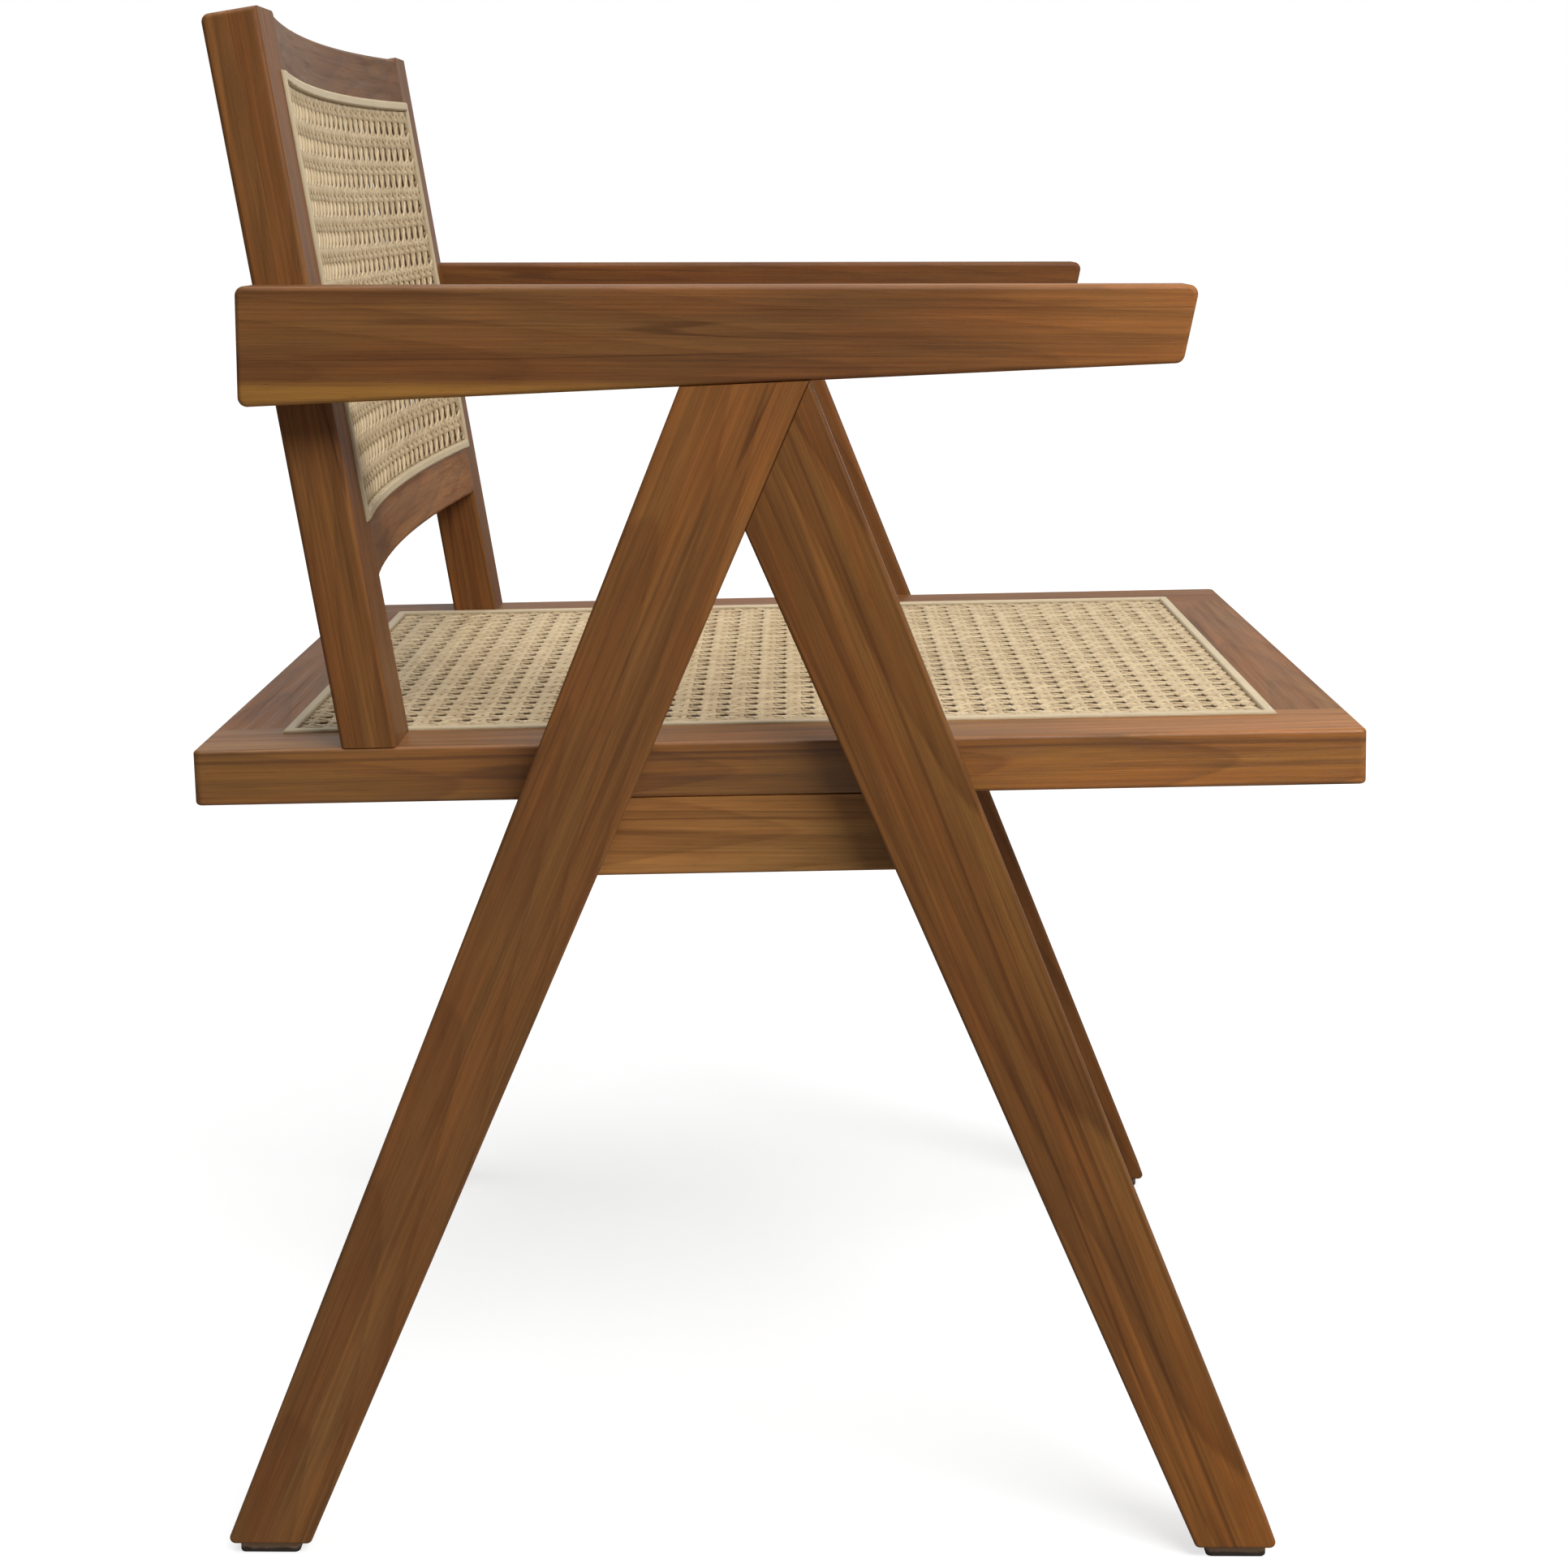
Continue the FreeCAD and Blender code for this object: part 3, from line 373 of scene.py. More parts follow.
# Grain of the teak. Noises: scales along, across and through the grain, shift, detail, roughness.
TEAK_NOISES = {
    "sway": ((2.2, 16, 16), (0, 0, 0), 2.0, 0.5),
    "band": ((1.7, 42, 42), (3, 5, 7), 3.0, 0.5),
    "streak": ((5, 210, 210), (7, 1, 4), 3.0, 0.6),
    "thread": ((3.2, 560, 560), (8, 3, 3), 2.0, 0.6),
    "fibre": ((26, 1500, 1500), (2, 8, 5), 2.0, 0.6),
    "pore": ((120, 3400, 3400), (9, 2, 6), 1.0, 0.5),
    "warm": ((9, 80, 80), (6, 2, 9), 3.0, 0.5),
    "vein": ((1.3, 60, 60), (4, 4, 1), 1.0, 0.5),
    "patch": ((3, 22, 22), (1, 6, 2), 1.0, 0.5),
    "mottle": ((17, 110, 110), (5, 9, 2), 3.0, 0.5),
}
# Where each mark fades from nothing to full, in its noise's value, a share of a ring or metres
TEAK_FADES = {
    "ring's close": (1.0, 0.93), "pale band": (0.40, 0.70), "light end": (0.0, 0.16),
    "warm": (0.36, 0.64), "streak": (0.50, 0.72), "vein": (0.012, 0.003), "vein's patch": (0.52, 0.62),
    "dark line": (0.0014, 0.0002), "sapwood": (0.0035, -0.0025), "pore": (0.66, 0.78),
    "pore's dip": (0.62, 0.75),
}
TEAK_SHARES = {
    "light end's rag": 0.5, "vein": 0.6, "line's sway": 0.3, "dark line": 0.6, "edge's sway": 0.12,
    "fibre": 0.6, "thread": 0.75, "mottle": 0.55, "pore": 0.35, "fibre's rise": 0.6,
    "streak's rise": 0.6, "pore's dip": 0.5,
}
TEAK_ROUGHNESS = (0.22, 0.36)
WARM_TINT = (1.05, 0.975, 0.93, 1)
COOL_TINT = (0.97, 1.0, 1.01, 1)
RING_SWAY = 0.022
LOG_DEPTH = 0.045
LOG_TAPER = 0.055
LATE_POWER = 3.0


def teak_grain_group():
    """Grain along X of the vector that comes in: growth rings of a tapering log, long bands and
    streaks, fine fibres and thin dark veins. The wood turns lighter beyond the light end, has one
    dark line along its run, and is paler sapwood below an edge."""
    tree, given, leave = group("Teak grain", {
        "Vector": PLACE, "Heartwood": COLOUR, "Late wood": COLOUR, "Pale band": COLOUR,
        "Sapwood": COLOUR, "Ring width": NUMBER, "Figure": NUMBER, "Streaks": NUMBER,
        "Sapwood edge": NUMBER, "Light end": NUMBER, "Light wood": COLOUR, "Dark line": NUMBER})
    run, side, deep = separate(tree, given["Vector"])
    drawn = noises(tree, given["Vector"], TEAK_NOISES)
    late_wood = given["Late wood"]

    def fade(name, value):
        return between(tree, value, TEAK_FADES[name])

    def share_of(name, value):
        return maths(tree, "MULTIPLY", value, TEAK_SHARES[name])

    # Growth rings: radius = sqrt(side^2 + (deep + depth)^2) + taper * run + sway
    sway = swing(tree, drawn["sway"], RING_SWAY)
    deeper = maths(tree, "POWER", maths(tree, "ADD", deep, LOG_DEPTH), 2.0)
    radius = maths(tree, "SQRT", maths(tree, "ADD", maths(tree, "POWER", side, 2.0), deeper))
    radius = maths(tree, "ADD", radius, maths(tree, "MULTIPLY", run, LOG_TAPER))
    radius = maths(tree, "ADD", radius, sway)
    ring = maths(tree, "FRACT", maths(tree, "DIVIDE", radius, given["Ring width"]))
    late = product(tree, maths(tree, "POWER", ring, LATE_POWER), fade("ring's close", ring))

    # Broad changes of colour
    end = maths(tree, "SUBTRACT", run, given["Light end"])
    end = maths(tree, "ADD", end, swing(tree, drawn["band"], TEAK_SHARES["light end's rag"]))
    colour = blend(tree, fade("pale band", drawn["band"]), given["Heartwood"], given["Pale band"])
    colour = blend(tree, fade("light end", end), colour, given["Light wood"])
    tint = blend(tree, fade("warm", drawn["warm"]), WARM_TINT, COOL_TINT)
    colour = blend(tree, 1.0, colour, tint, "MULTIPLY")

    # Dark marks: rings, streaks, veins and the one line
    colour = blend(tree, product(tree, late, given["Figure"]), colour, late_wood)
    dark = product(tree, fade("streak", drawn["streak"]), given["Streaks"])
    colour = blend(tree, dark, colour, late_wood)
    vein = product(tree, fade("vein", apart(tree, drawn["vein"], 0.5)), fade("vein's patch", drawn["patch"]))
    colour = blend(tree, share_of("vein", vein), colour, late_wood)
    line = maths(tree, "ADD", side, share_of("line's sway", sway))
    line = fade("dark line", apart(tree, line, given["Dark line"]))
    colour = blend(tree, share_of("dark line", line), colour, late_wood)

    # Sapwood, then fibres, threads, mottle and pores over everything
    edge = maths(tree, "ADD", given["Sapwood edge"], share_of("edge's sway", sway))
    colour = blend(tree, fade("sapwood", maths(tree, "SUBTRACT", side, edge)), colour, given["Sapwood"])
    shade = product(tree, *(about_one(tree, drawn[name], TEAK_SHARES[name])
                            for name in ("fibre", "thread", "mottle")))
    pores = maths(tree, "SUBTRACT", 1.0, share_of("pore", fade("pore", drawn["pore"])))
    colour = shaded(tree, colour, product(tree, shade, pores))
    height = maths(tree, "ADD", share_of("fibre's rise", drawn["fibre"]),
                   share_of("streak's rise", drawn["streak"]))
    height = maths(tree, "SUBTRACT", height, share_of("pore's dip", fade("pore's dip", drawn["pore"])))
    return give(tree, leave, colour, scaled(tree, drawn["streak"], *TEAK_ROUGHNESS), height)


# Fibres of the cane: noises as above, and how its tone and flecks turn from pale to brown
CANE_NOISES = {
    "slow": ((16, 1.5, 1.5), (2, 3, 1), 3.0, 0.5),
    "fine": ((60, 2400, 2400), (5, 1, 2), 2.0, 0.6),
    "fleck": ((170, 500, 500), (1, 7, 3), 1.0, 0.5),
}
CANE_SLOW_SHARE = 0.7
CANE_TONE_SHARE = 0.45
CANE_BROWN_FADE = (0.35, 1.05)
CANE_FLECK_FADE = (0.66, 0.76)
CANE_FLECK_SHARE = 0.35
CANE_FINE_SHARE = 0.5
CANE_ROUGHNESS = (0.25, 0.33)


def cane_fibre_group():
    """Fine fibres along X of the vector that comes in, with slow changes of tone."""
    tree, given, leave = group("Cane fibre", {
        "Vector": PLACE, "Tone": NUMBER, "Pale": COLOUR, "Brown": COLOUR})
    drawn = noises(tree, given["Vector"], CANE_NOISES)
    share = maths(tree, "ADD", maths(tree, "MULTIPLY", drawn["slow"], CANE_SLOW_SHARE),
                  maths(tree, "MULTIPLY", given["Tone"], CANE_TONE_SHARE))
    colour = blend(tree, between(tree, share, CANE_BROWN_FADE), given["Pale"], given["Brown"])
    fleck = product(tree, between(tree, drawn["fleck"], CANE_FLECK_FADE), CANE_FLECK_SHARE)
    colour = blend(tree, fleck, colour, given["Brown"])
    colour = shaded(tree, colour, about_one(tree, drawn["fine"], CANE_FINE_SHARE))
    return give(tree, leave, colour, scaled(tree, drawn["fine"], *CANE_ROUGHNESS), drawn["fine"])


TEAK_GRAIN = teak_grain_group()
CANE_FIBRE = cane_fibre_group()


# Materials

def blank_material(name):
    """Material with only a Principled shader and its output."""
    material = bpy.data.materials.new(name)
    material.use_nodes = True
    tree = material.node_tree
    tree.nodes.clear()
    shader = tree.nodes.new("ShaderNodeBsdfPrincipled")
    output = tree.nodes.new("ShaderNodeOutputMaterial")
    tree.links.new(shader.outputs[0], output.inputs[0])
    return material, tree, shader


def surface(tree, shader, colour, rough, height, strength, distance):
    """Colour, roughness and bump of a shader; the bump's distance is in metres."""
    bump = add(tree, "ShaderNodeBump", {}, {
        "Height": height, "Strength": strength, "Distance": distance}).outputs[0]
    for label, source in (("Base Color", colour), ("Roughness", rough), ("Normal", bump)):
        tree.links.new(source, shader.inputs[label])


def dress(node, material):
    for slot in NODES[node].material_slots:
        slot.material = material


HEARTWOOD = (0.180, 0.071, 0.0185)
LATE_WOOD = (0.080, 0.026, 0.0065)
PALE_BAND = (0.226, 0.098, 0.0265)
SAPWOOD = (0.318, 0.144, 0.0280)
LIGHT_WOOD = (0.232, 0.0880, 0.0200)
TEAK_BUMP = (0.35, 0.0004)

# Beyond any board, for a mark that a board lacks
BEYOND = 9.0
BELOW = -1.0


def toned(colour, tone, hue):
    return tuple(channel * tone * part for channel, part in zip(colour, hue)) + (1.0,)


def teak(name, along, across, centre, tone=1.0, hue=(1, 1, 1), ring_width=0.007, figure=0.5,
         streaks=0.4, sapwood_edge=BELOW, light_end=BEYOND, light_tone=1.0, dark_line=BEYOND, gloss=0.22):
    """Teak whose grain runs along a board: the mapping turns the board's length onto X."""
    material, tree, shader = blank_material(name)
    along = Vector(along).normalized()
    across = (Vector(across) - along * Vector(across).dot(along)).normalized()
    turn = Matrix((along, across, along.cross(across)))
    mapping = add(tree, "ShaderNodeMapping", {}, {
        "Vector": object_place(tree), "Rotation": turn.to_euler(), "Location": -(turn @ Vector(centre))})
    made = add(tree, "ShaderNodeGroup", {"node_tree": TEAK_GRAIN}, {
        "Vector": mapping.outputs[0], "Heartwood": toned(HEARTWOOD, tone, hue),
        "Late wood": toned(LATE_WOOD, tone, hue), "Pale band": toned(PALE_BAND, tone, hue),
        "Sapwood": toned(SAPWOOD, tone, hue), "Light wood": toned(LIGHT_WOOD, light_tone, hue),
        "Ring width": ring_width, "Figure": figure, "Streaks": streaks, "Sapwood edge": sapwood_edge,
        "Light end": light_end, "Dark line": dark_line}).outputs
    surface(tree, shader, made["Color"], made["Roughness"], made["Height"], *TEAK_BUMP)
    shader.inputs["Specular IOR Level"].default_value = gloss
    return material


# Teak boards, each with its own run of grain

UP_REAR_LEG = (0, -0.2428, 0.5914)
UP_FRONT_LEG = (0, 0.2423, 0.5934)
DOWN_FRONT_LEG = (0, -0.2423, -0.5934)
UP_POST = (0, math.sin(RECLINE), math.cos(RECLINE))
FORWARD = (0, -1, 0)
FORWARD_AND_UP = (0, -math.cos(SEAT_SLOPE), math.sin(SEAT_SLOPE))
BACKWARD = (0, 1, 0)
SIDEWAYS = (1, 0, 0)
UP = (0, 0, 1)

SHADED = (0.92, 0.84, 0.76)
BOARDS = {
    "rear_leg_right": dict(
        along=UP_REAR_LEG, across=BACKWARD, centre=(-0.26, 0.150, 0.31), hue=(1, 1.03, 1.1),
        figure=0.35, light_end=0.12, light_tone=0.95),
    "front_leg_right": dict(
        along=DOWN_FRONT_LEG, across=BACKWARD, centre=(-0.26, -0.152, 0.26), tone=0.93,
        hue=(0.97, 0.94, 0.82), figure=0.55, ring_width=0.009, light_end=0.10, light_tone=1.14,
        dark_line=0.0185),
    "arm_right": dict(
        along=FORWARD, across=UP, centre=(-0.26, 0.1, 0.60), tone=0.88, hue=(1, 1, 1.08),
        figure=0.3, sapwood_edge=-0.0012, light_end=0.10, light_tone=1.22),
    "seat_side_rail_right": dict(
        along=FORWARD_AND_UP, across=UP, centre=(-0.24, 0.05, 0.40), tone=1.18, hue=(1, 0.99, 0.66),
        streaks=0.55, light_end=0.10, light_tone=1.38, dark_line=0.0138, gloss=0.55),
    # The stretcher's raised tone is partly its lighter wood and partly painted light against the shade of
    # the side rail above
    "leg_stretcher_right": dict(
        along=FORWARD, across=UP, centre=(-0.24, 0.02, 0.37), tone=1.62, hue=(1, 1.14, 1.24), figure=0.4),
    "back_post_right": dict(
        along=UP_POST, across=BACKWARD, centre=(-0.225, 0.21, 0.62), tone=0.92, hue=(1, 0.98, 0.98),
        figure=0.3),
    "rear_leg_left": dict(
        along=UP_REAR_LEG, across=BACKWARD, centre=(0.27, 0.156, 0.31), tone=1.16, hue=SHADED, figure=0.4),
    "front_leg_left": dict(
        along=UP_FRONT_LEG, across=BACKWARD, centre=(0.27, -0.147, 0.2), tone=0.92, hue=SHADED,
        figure=0.4, ring_width=0.008),
    "arm_left": dict(
        along=FORWARD, across=UP, centre=(0.25, 0.3, 0.61), tone=0.84, hue=SHADED, figure=0.35),
    "seat_side_rail_left": dict(along=FORWARD, across=UP, centre=(0.23, 0.25, 0.40), figure=0.45),
    "leg_stretcher_left": dict(
        along=FORWARD, across=UP, centre=(0.24, 0.12, 0.37), tone=1.05, figure=0.45),
    "back_post_left": dict(
        along=UP_POST, across=BACKWARD, centre=(0.225, 0.215, 0.5), tone=0.92, hue=SHADED, figure=0.35),
    "seat_front_rail": dict(along=SIDEWAYS, across=BACKWARD, centre=(0.05, -0.27, 0.42), figure=0.4),
    "seat_rear_rail": dict(
        along=SIDEWAYS, across=BACKWARD, centre=(-0.1, 0.27, 0.41), tone=1.15, hue=(1, 0.93, 0.75),
        figure=0.45),
    "back_top_rail": dict(
        along=SIDEWAYS, across=UP, centre=(0.08, 0.26, 0.76), tone=0.78, figure=0.35),
    "back_bottom_rail": dict(
        along=SIDEWAYS, across=UP, centre=(-0.05, 0.21, 0.51), tone=1.14, figure=0.4),
}
for board, run in BOARDS.items():
    dress(board, teak(f"teak_{board}", **run))


# Cane, and the splines that hold it

PEEL = {"Pale": (0.545, 0.425, 0.257, 1), "Brown": (0.365, 0.255, 0.140, 1)}
PEEL_BUMP = (0.4, 0.0001)
PEEL_GLOSS = 0.4
FIBRE_REACH = 0.0012
# Raw sides of the strands, painted dark as the shade inside the weave's holes
RAW_SIDE_SHADE = (0.145, 0.082, 0.036, 1)
RAW_SIDE_SHADE_FADE = (0.36, -0.30)
UNDERSIDE = (0.25, 0.155, 0.075, 1)
UNDERSIDE_SHARE = 0.45
UNDERSIDE_FADE = (-0.45, -0.80)

REED = {"Pale": (0.56, 0.455, 0.290, 1), "Brown": (0.40, 0.30, 0.17, 1)}
REED_TONE = 0.25
REED_BUMP = (0.5, 0.0003)
# Dark line: a joint line at the mitred corners, and painted shade along both rims of the reed
REED_JOINT_AND_SHADE_LINE = (0.18, 0.12, 0.06, 1)
REED_JOINT_AND_SHADE_SHARE = 0.35
MITRE_FADE = (0.0004, 0.0001)
RIM_SHADE_FADE = (0.0017, 0.0025)


def woven_cane_finish():
    """Strands: glossy peel on top, raw sides painted dark as the shade inside the weave's holes, and a
    duller tan underneath.
    """
    material, tree, shader = blank_material("woven_cane")
    travel, turn, _ = separate(tree, add(tree, "ShaderNodeUVMap", {"uv_map": "strand"}).outputs[0])
    tone = add(tree, "ShaderNodeAttribute", {"attribute_name": "tone"}).outputs["Fac"]
    angle = maths(tree, "MULTIPLY", turn, 2 * math.pi)
    around = maths(tree, "SINE", angle)
    width = maths(tree, "MULTIPLY", maths(tree, "COSINE", angle), FIBRE_REACH)
    made = add(tree, "ShaderNodeGroup", {"node_tree": CANE_FIBRE}, {
        "Vector": combine(tree, travel, width, tone), "Tone": tone, **PEEL}).outputs
    # Painted shade: the strands' sides turn dark from below the peel downwards
    colour = blend(tree, between(tree, around, RAW_SIDE_SHADE_FADE), made["Color"], RAW_SIDE_SHADE)
    below = blend(tree, UNDERSIDE_SHARE, made["Color"], UNDERSIDE)
    colour = blend(tree, between(tree, around, UNDERSIDE_FADE), colour, below)
    surface(tree, shader, colour, made["Roughness"], made["Height"], *PEEL_BUMP)
    shader.inputs["Specular IOR Level"].default_value = PEEL_GLOSS
    return material


def spline_finish(name, half_width, half_length, middle, second_axis, turn):
    """Round-backed reed: fibres follow each side of the ring, with a fine joint line at the corners
    and painted shade along the rims."""
    material, tree, shader = blank_material(name)
    mapping = add(tree, "ShaderNodeMapping", {}, {
        "Vector": object_place(tree), "Rotation": (turn, 0, 0),
        "Location": -(Matrix.Rotation(turn, 3, "X") @ Vector(middle))})
    axes = separate(tree, mapping.outputs[0])
    wide, tall, thick = axes[0], axes[second_axis], axes[3 - second_axis]
    beyond_side = maths(tree, "SUBTRACT", maths(tree, "ABSOLUTE", wide), half_width)
    beyond_end = maths(tree, "SUBTRACT", maths(tree, "ABSOLUTE", tall), half_length)
    lead = maths(tree, "SUBTRACT", beyond_side, beyond_end)
    chosen = add(tree, "ShaderNodeMix", {"data_type": "VECTOR"})
    for number, source in ((0, maths(tree, "GREATER_THAN", lead, 0.0)),
                           (4, combine(tree, wide, tall, thick)), (5, combine(tree, tall, wide, thick))):
        tree.links.new(source, chosen.inputs[number])
    made = add(tree, "ShaderNodeGroup", {"node_tree": CANE_FIBRE}, {
        "Vector": chosen.outputs[1], "Tone": REED_TONE, **REED}).outputs
    near_corner = between(tree, maths(tree, "ABSOLUTE", lead), MITRE_FADE)
    from_middle = maths(tree, "ABSOLUTE", maths(tree, "MAXIMUM", beyond_side, beyond_end))
    # Painted shade along the rims, joined with the corners' joint line
    line = maths(tree, "MAXIMUM", near_corner, between(tree, from_middle, RIM_SHADE_FADE))
    colour = blend(tree, maths(tree, "MULTIPLY", line, REED_JOINT_AND_SHADE_SHARE), made["Color"], REED_JOINT_AND_SHADE_LINE)
    surface(tree, shader, colour, made["Roughness"], made["Height"], *REED_BUMP)
    return material


CANE_FINISH = woven_cane_finish()
woven_cane("seat_cane", SEAT_WINDOW, SEAT_PITCH, SEAT_HOLE, on_seat, CANE_FINISH, 10)
woven_cane("back_cane", BACK_WINDOW, BACK_PITCH, BACK_HOLE, on_back, CANE_FINISH, 20)
dress("seat_cane_spline", spline_finish(
    "seat_spline_reed", SEAT_WINDOW[0] + SPLINE_WIDTH / 2, SEAT_WINDOW[2] + SPLINE_WIDTH / 2,
    (0, *SEAT_ORIGIN), 1, SEAT_SLOPE))
back_middle = on_back(np.zeros(1), np.array([(BACK_WINDOW[1] + BACK_WINDOW[2]) / 2]), np.zeros(1))[0]
dress("back_cane_spline", spline_finish(
    "back_spline_reed", BACK_WINDOW[0] + SPLINE_WIDTH / 2,
    (BACK_WINDOW[2] - BACK_WINDOW[1] + SPLINE_WIDTH) / 2,
    tuple(float(number) for number in back_middle), 2, RECLINE))


# Foot pads, dowels and nails. Noises as above; a roughness is a slope and a base over a noise.

PAD_NOISES = {
    "grit": ((700, 700, 700), (0, 0, 0), 3.0, 0.6),
    "scuff": ((120, 120, 60), (1, 2, 3), 2.0, 0.5),
}
PAD_DARK = (0.030, 0.021, 0.015, 1)
PAD_BROWN = (0.30, 0.19, 0.105, 1)
PAD_GRIT = (0.13, 0.1, 0.07, 1)
PAD_EDGE_SWING = 0.003
PAD_EDGE_FADE = (0.0020, 0.0040)
PAD_GRIT_FADE = (0.55, 0.75)
PAD_GRIT_SHARE = 0.3
PAD_ROUGHNESS = (0.3, 0.5)
PAD_BUMP = (0.4, 0.0003)

BEECH_NOISES = {"fleck": ((500, 900, 900), (0, 0, 0), 2.0, 0.5)}
BEECH = (0.55, 0.38, 0.22, 1)
BEECH_FLECK = (0.38, 0.24, 0.12, 1)
BEECH_FLECK_FADE = (0.45, 0.7)
BEECH_ROUGHNESS = (0.2, 0.5)
BEECH_BUMP = (0.3, 0.0002)

ZINC_NOISES = {
    "cloud": ((260, 260, 260), (0, 0, 0), 3.0, 0.5),
    "scratch": ((2500, 180, 180), (3, 1, 1), 2.0, 0.5),
}
ZINC_DARK = (0.42, 0.43, 0.44, 1)
ZINC_PALE = (0.62, 0.62, 0.60, 1)
ZINC_ROUGHNESS = (0.3, 0.25)
ZINC_BUMP = (0.2, 0.0001)


def pad_finish():
    """Dark moulded pad: browner in a band above, near black towards the floor, with fine grit."""
    material, tree, shader = blank_material("foot_pad")
    place = object_place(tree)
    drawn = noises(tree, place, PAD_NOISES)
    edge = maths(tree, "ADD", separate(tree, place)[2], swing(tree, drawn["scuff"], PAD_EDGE_SWING))
    colour = blend(tree, between(tree, edge, PAD_EDGE_FADE), PAD_DARK, PAD_BROWN)
    grit = product(tree, between(tree, drawn["grit"], PAD_GRIT_FADE), PAD_GRIT_SHARE)
    colour = blend(tree, grit, colour, PAD_GRIT)
    surface(tree, shader, colour, scaled(tree, drawn["scuff"], *PAD_ROUGHNESS), drawn["grit"], *PAD_BUMP)
    return material


def dowel_finish():
    """Turned beech: pale, with short flecks."""
    material, tree, shader = blank_material("beech_dowel")
    fleck = noises(tree, object_place(tree), BEECH_NOISES)["fleck"]
    colour = blend(tree, between(tree, fleck, BEECH_FLECK_FADE), BEECH, BEECH_FLECK)
    surface(tree, shader, colour, scaled(tree, fleck, *BEECH_ROUGHNESS), fleck, *BEECH_BUMP)
    return material


def nail_finish():
    """Zinc-plated steel: cloudy grey with fine scratches."""
    material, tree, shader = blank_material("zinc_nail")
    drawn = noises(tree, object_place(tree), ZINC_NOISES)
    colour = blend(tree, drawn["cloud"], ZINC_DARK, ZINC_PALE)
    rough = scaled(tree, drawn["scratch"], *ZINC_ROUGHNESS)
    surface(tree, shader, colour, rough, drawn["scratch"], *ZINC_BUMP)
    shader.inputs["Metallic"].default_value = 1.0
    return material


PAD = pad_finish()
DOWEL = dowel_finish()
NAIL = nail_finish()
for node in NODES:
    if node.startswith("foot_glide"):
        dress(node, PAD)
    elif node.endswith("dowels"):
        dress(node, DOWEL)
    elif node == "glide_nails":
        dress(node, NAIL)


# Floor, light and camera

WHITE = (1, 1, 1, 1)
FLOOR_REACH = 12.0
FLOOR_PAPER = (0.38, 0.37, 0.36, 1)
FLOOR_SEEN = (0.50, 0.50, 0.50, 1)
FLOOR_GLOW_FADE = (0.6, 2.6)
FLOOR_GLOW = (0.30, 0.70)

FILL_COLOUR = (1.0, 0.99, 0.97, 1)
FILL_STRENGTH = 0.13
CARD_COLOUR = (1.0, 0.97, 0.92, 1)
CARD_STRENGTH = 0.8
CARD_FADE = (0.6, 0.95)

SOFTBOXES = {
    "overhead_box": dict(place=(-0.2, 0.3, 2.6), target=(0, 0, 0.4), size=(1.4, 1.4), power=38),
    "camera_side_box": dict(place=(-1.9, -1.25, 2.25), target=(0, -0.1, 0.45), size=(2.0, 1.0), power=74),
    "front_box": dict(place=(-0.8, -2.7, 1.4), target=(0, 0, 0.4), size=(1.5, 1.2), power=12.5),
}

# The photograph's camera, found from the chair's edges; the focus and the row are in pixels
CAMERA_PLACE = (-1.529494709, -0.005292594, 0.683416323)
CAMERA_PITCH, CAMERA_YAW, CAMERA_ROLL = 0.151431, -0.002613, 0.003255
CAMERA_FOCUS = 3241.05349
PHOTO_SIDE = 1932
MIDDLE_ROW = 750
SENSOR = 36.0
CLIP = (0.05, 100)


def looked_at(tree):
    """Light path, and 1 where the background is seen straight or through glass."""
    path = tree.nodes.new("ShaderNodeLightPath").outputs
    return path, maths(tree, "MAXIMUM", path["Is Camera Ray"], path["Is Transmission Ray"])


def studio_floor():
    """Wide pale sheet on the floor; the camera sees it white, with the chair's soft shadow."""
    mesh = bpy.data.meshes.new("studio_floor")
    reach = FLOOR_REACH
    mesh.from_pydata([(-reach, -reach, 0), (reach, -reach, 0), (reach, reach, 0), (-reach, reach, 0)],
                     [], [(0, 1, 2, 3)])
    floor = bpy.data.objects.new("studio_floor", mesh)
    SCENE.collection.objects.link(floor)
    material = bpy.data.materials.new("studio_floor")
    material.use_nodes = True
    tree = material.node_tree
    tree.nodes.clear()
    paper = add(tree, "ShaderNodeBsdfDiffuse", {}, {"Color": FLOOR_PAPER}).outputs[0]
    seen = add(tree, "ShaderNodeBsdfDiffuse", {}, {"Color": FLOOR_SEEN}).outputs[0]
    distance = add(tree, "ShaderNodeVectorMath", {"operation": "LENGTH"}, {0: object_place(tree)})
    strength = scaled(tree, between(tree, distance.outputs["Value"], FLOOR_GLOW_FADE), *FLOOR_GLOW)
    glow = add(tree, "ShaderNodeEmission", {}, {"Color": WHITE, "Strength": strength}).outputs[0]
    lit = add(tree, "ShaderNodeAddShader", {}, {0: seen, 1: glow}).outputs[0]
    chosen = mixed_shader(tree, looked_at(tree)[1], paper, lit)
    output = tree.nodes.new("ShaderNodeOutputMaterial")
    tree.links.new(chosen, output.inputs[0])
    mesh.materials.append(material)


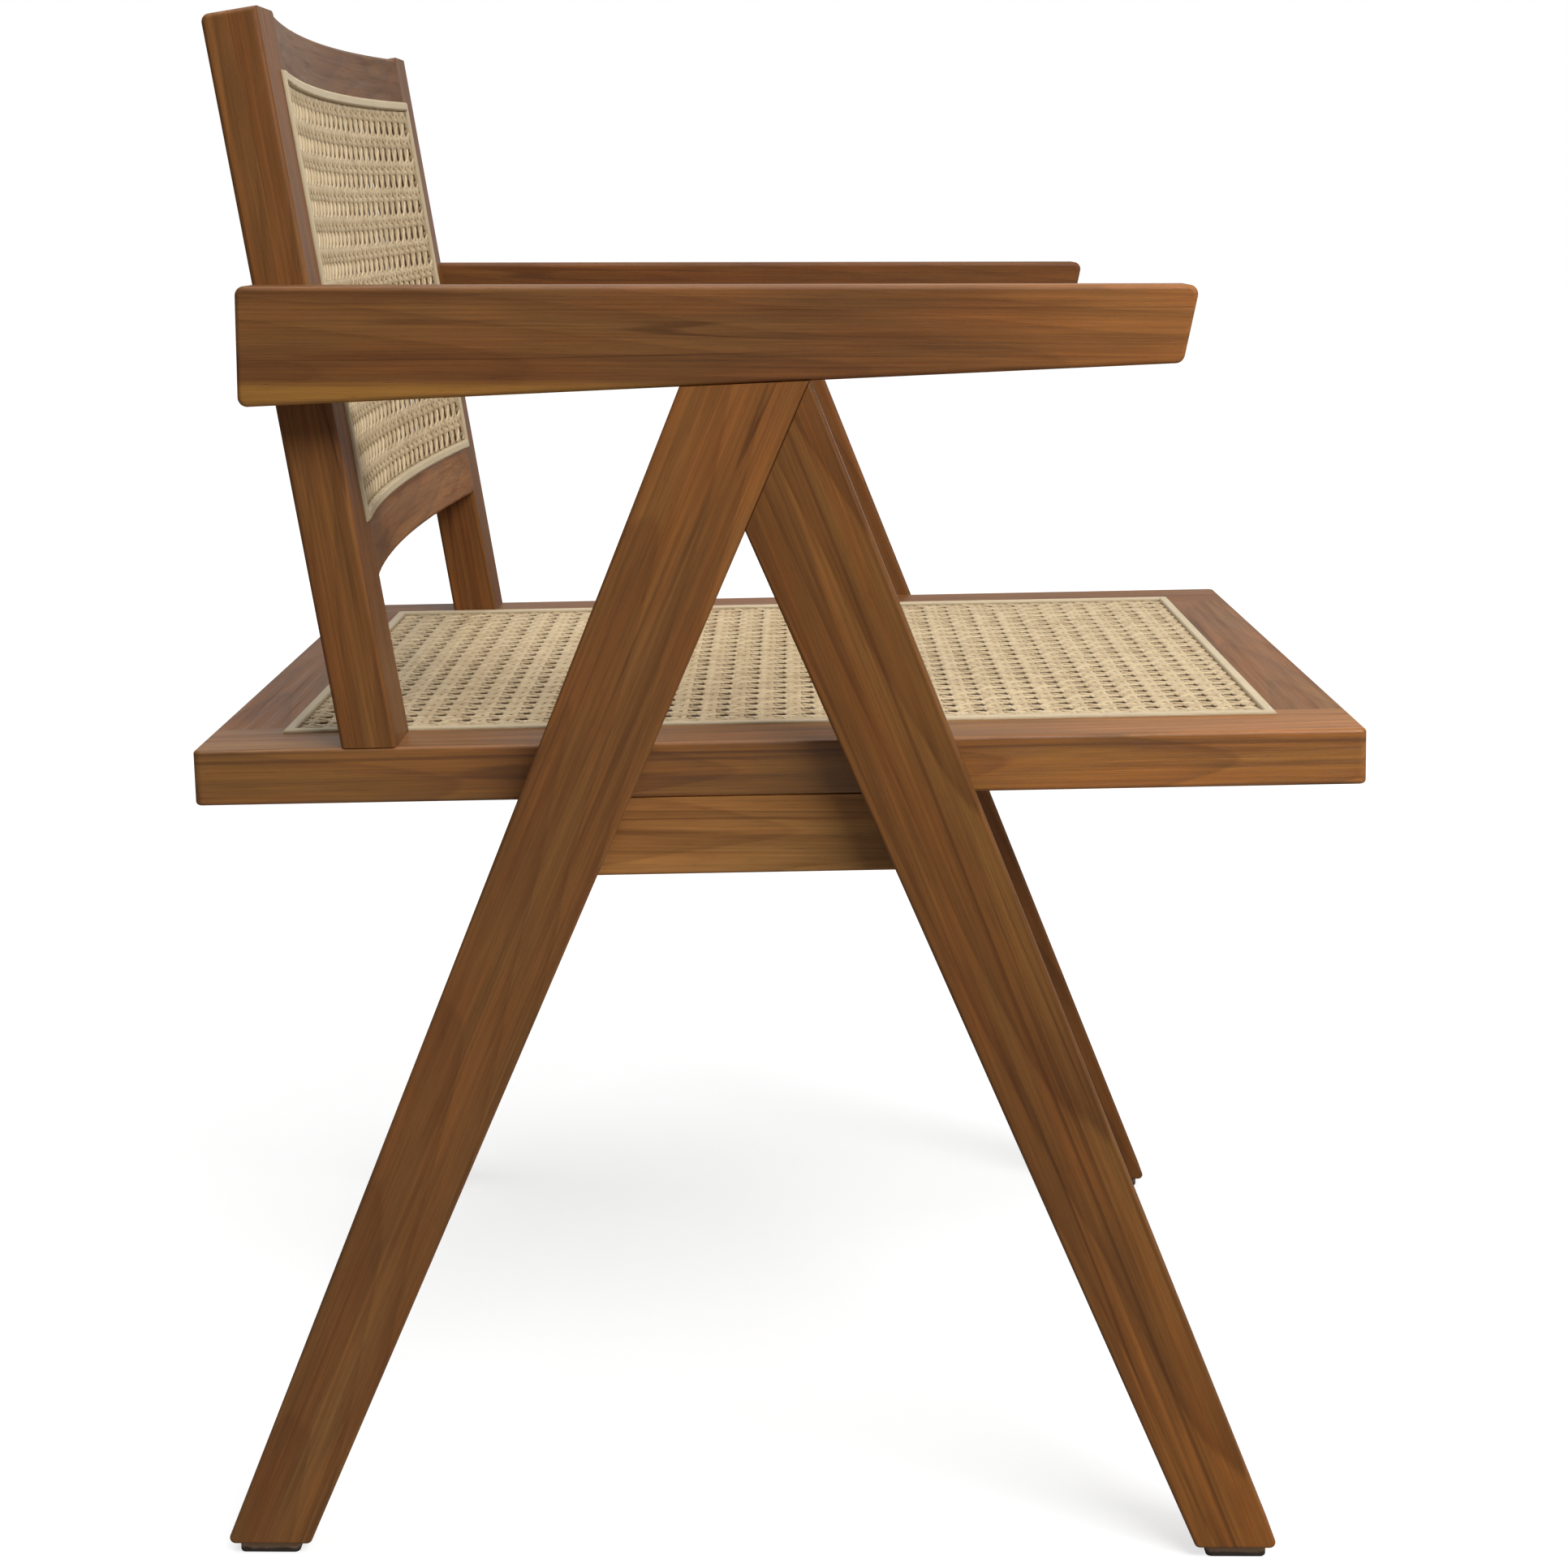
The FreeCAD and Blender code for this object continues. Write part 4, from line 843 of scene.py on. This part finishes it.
def studio_air():
    """World: white where it is looked at, a card behind the chair in its sheen, and a soft fill."""
    world = bpy.data.worlds.new("studio_air")
    SCENE.world = world
    world.use_nodes = True
    tree = world.node_tree
    tree.nodes.clear()

    def background(colour, strength):
        return add(tree, "ShaderNodeBackground", {}, {"Color": colour, "Strength": strength}).outputs[0]

    heading = separate(tree, tree.nodes.new("ShaderNodeTexCoord").outputs["Generated"])
    path, straight = looked_at(tree)
    behind = product(tree, path["Is Glossy Ray"], between(tree, heading[0], CARD_FADE))
    light = mixed_shader(tree, behind, background(FILL_COLOUR, FILL_STRENGTH),
                         background(CARD_COLOUR, CARD_STRENGTH))
    light = mixed_shader(tree, straight, light, background(WHITE, 1.0))
    output = tree.nodes.new("ShaderNodeOutputWorld")
    tree.links.new(light, output.inputs[0])


def softbox(name, place, target, size, power):
    lamp = bpy.data.lights.new(name, "AREA")
    lamp.shape = "RECTANGLE"
    lamp.size, lamp.size_y = size
    lamp.energy = power
    made = bpy.data.objects.new(name, lamp)
    SCENE.collection.objects.link(made)
    made.location = place
    heading = Vector(target) - Vector(place)
    made.rotation_euler = heading.to_track_quat("-Z", "Y").to_euler()


def camera():
    """Camera of the photograph: its place, its small pitch, yaw and roll, its lens and shift."""
    pitch, yaw, roll = CAMERA_PITCH, CAMERA_YAW, CAMERA_ROLL
    ahead = Vector((math.cos(yaw), -math.sin(yaw), 0))
    right = Vector((-math.sin(yaw), -math.cos(yaw), 0))
    up = Vector(UP)
    forward = math.cos(pitch) * ahead - math.sin(pitch) * up
    upward = math.sin(pitch) * ahead + math.cos(pitch) * up
    rolled_right = math.cos(roll) * right + math.sin(roll) * upward
    rolled_up = -math.sin(roll) * right + math.cos(roll) * upward
    data = bpy.data.cameras.new("photo_camera")
    data.sensor_width = SENSOR
    data.sensor_fit = "HORIZONTAL"
    data.lens = CAMERA_FOCUS / PHOTO_SIDE * SENSOR
    data.shift_y = (MIDDLE_ROW - PHOTO_SIDE / 2) / PHOTO_SIDE
    data.clip_start, data.clip_end = CLIP
    made = bpy.data.objects.new("photo_camera", data)
    SCENE.collection.objects.link(made)
    axes = Matrix((rolled_right, rolled_up, -forward)).transposed()
    made.matrix_world = Matrix.Translation(Vector(CAMERA_PLACE)) @ axes.to_4x4()
    SCENE.camera = made


studio_floor()
studio_air()
for name, settings in SOFTBOXES.items():
    softbox(name, **settings)
camera()
SCENE.view_settings.view_transform = "Standard"

bpy.context.view_layer.update()
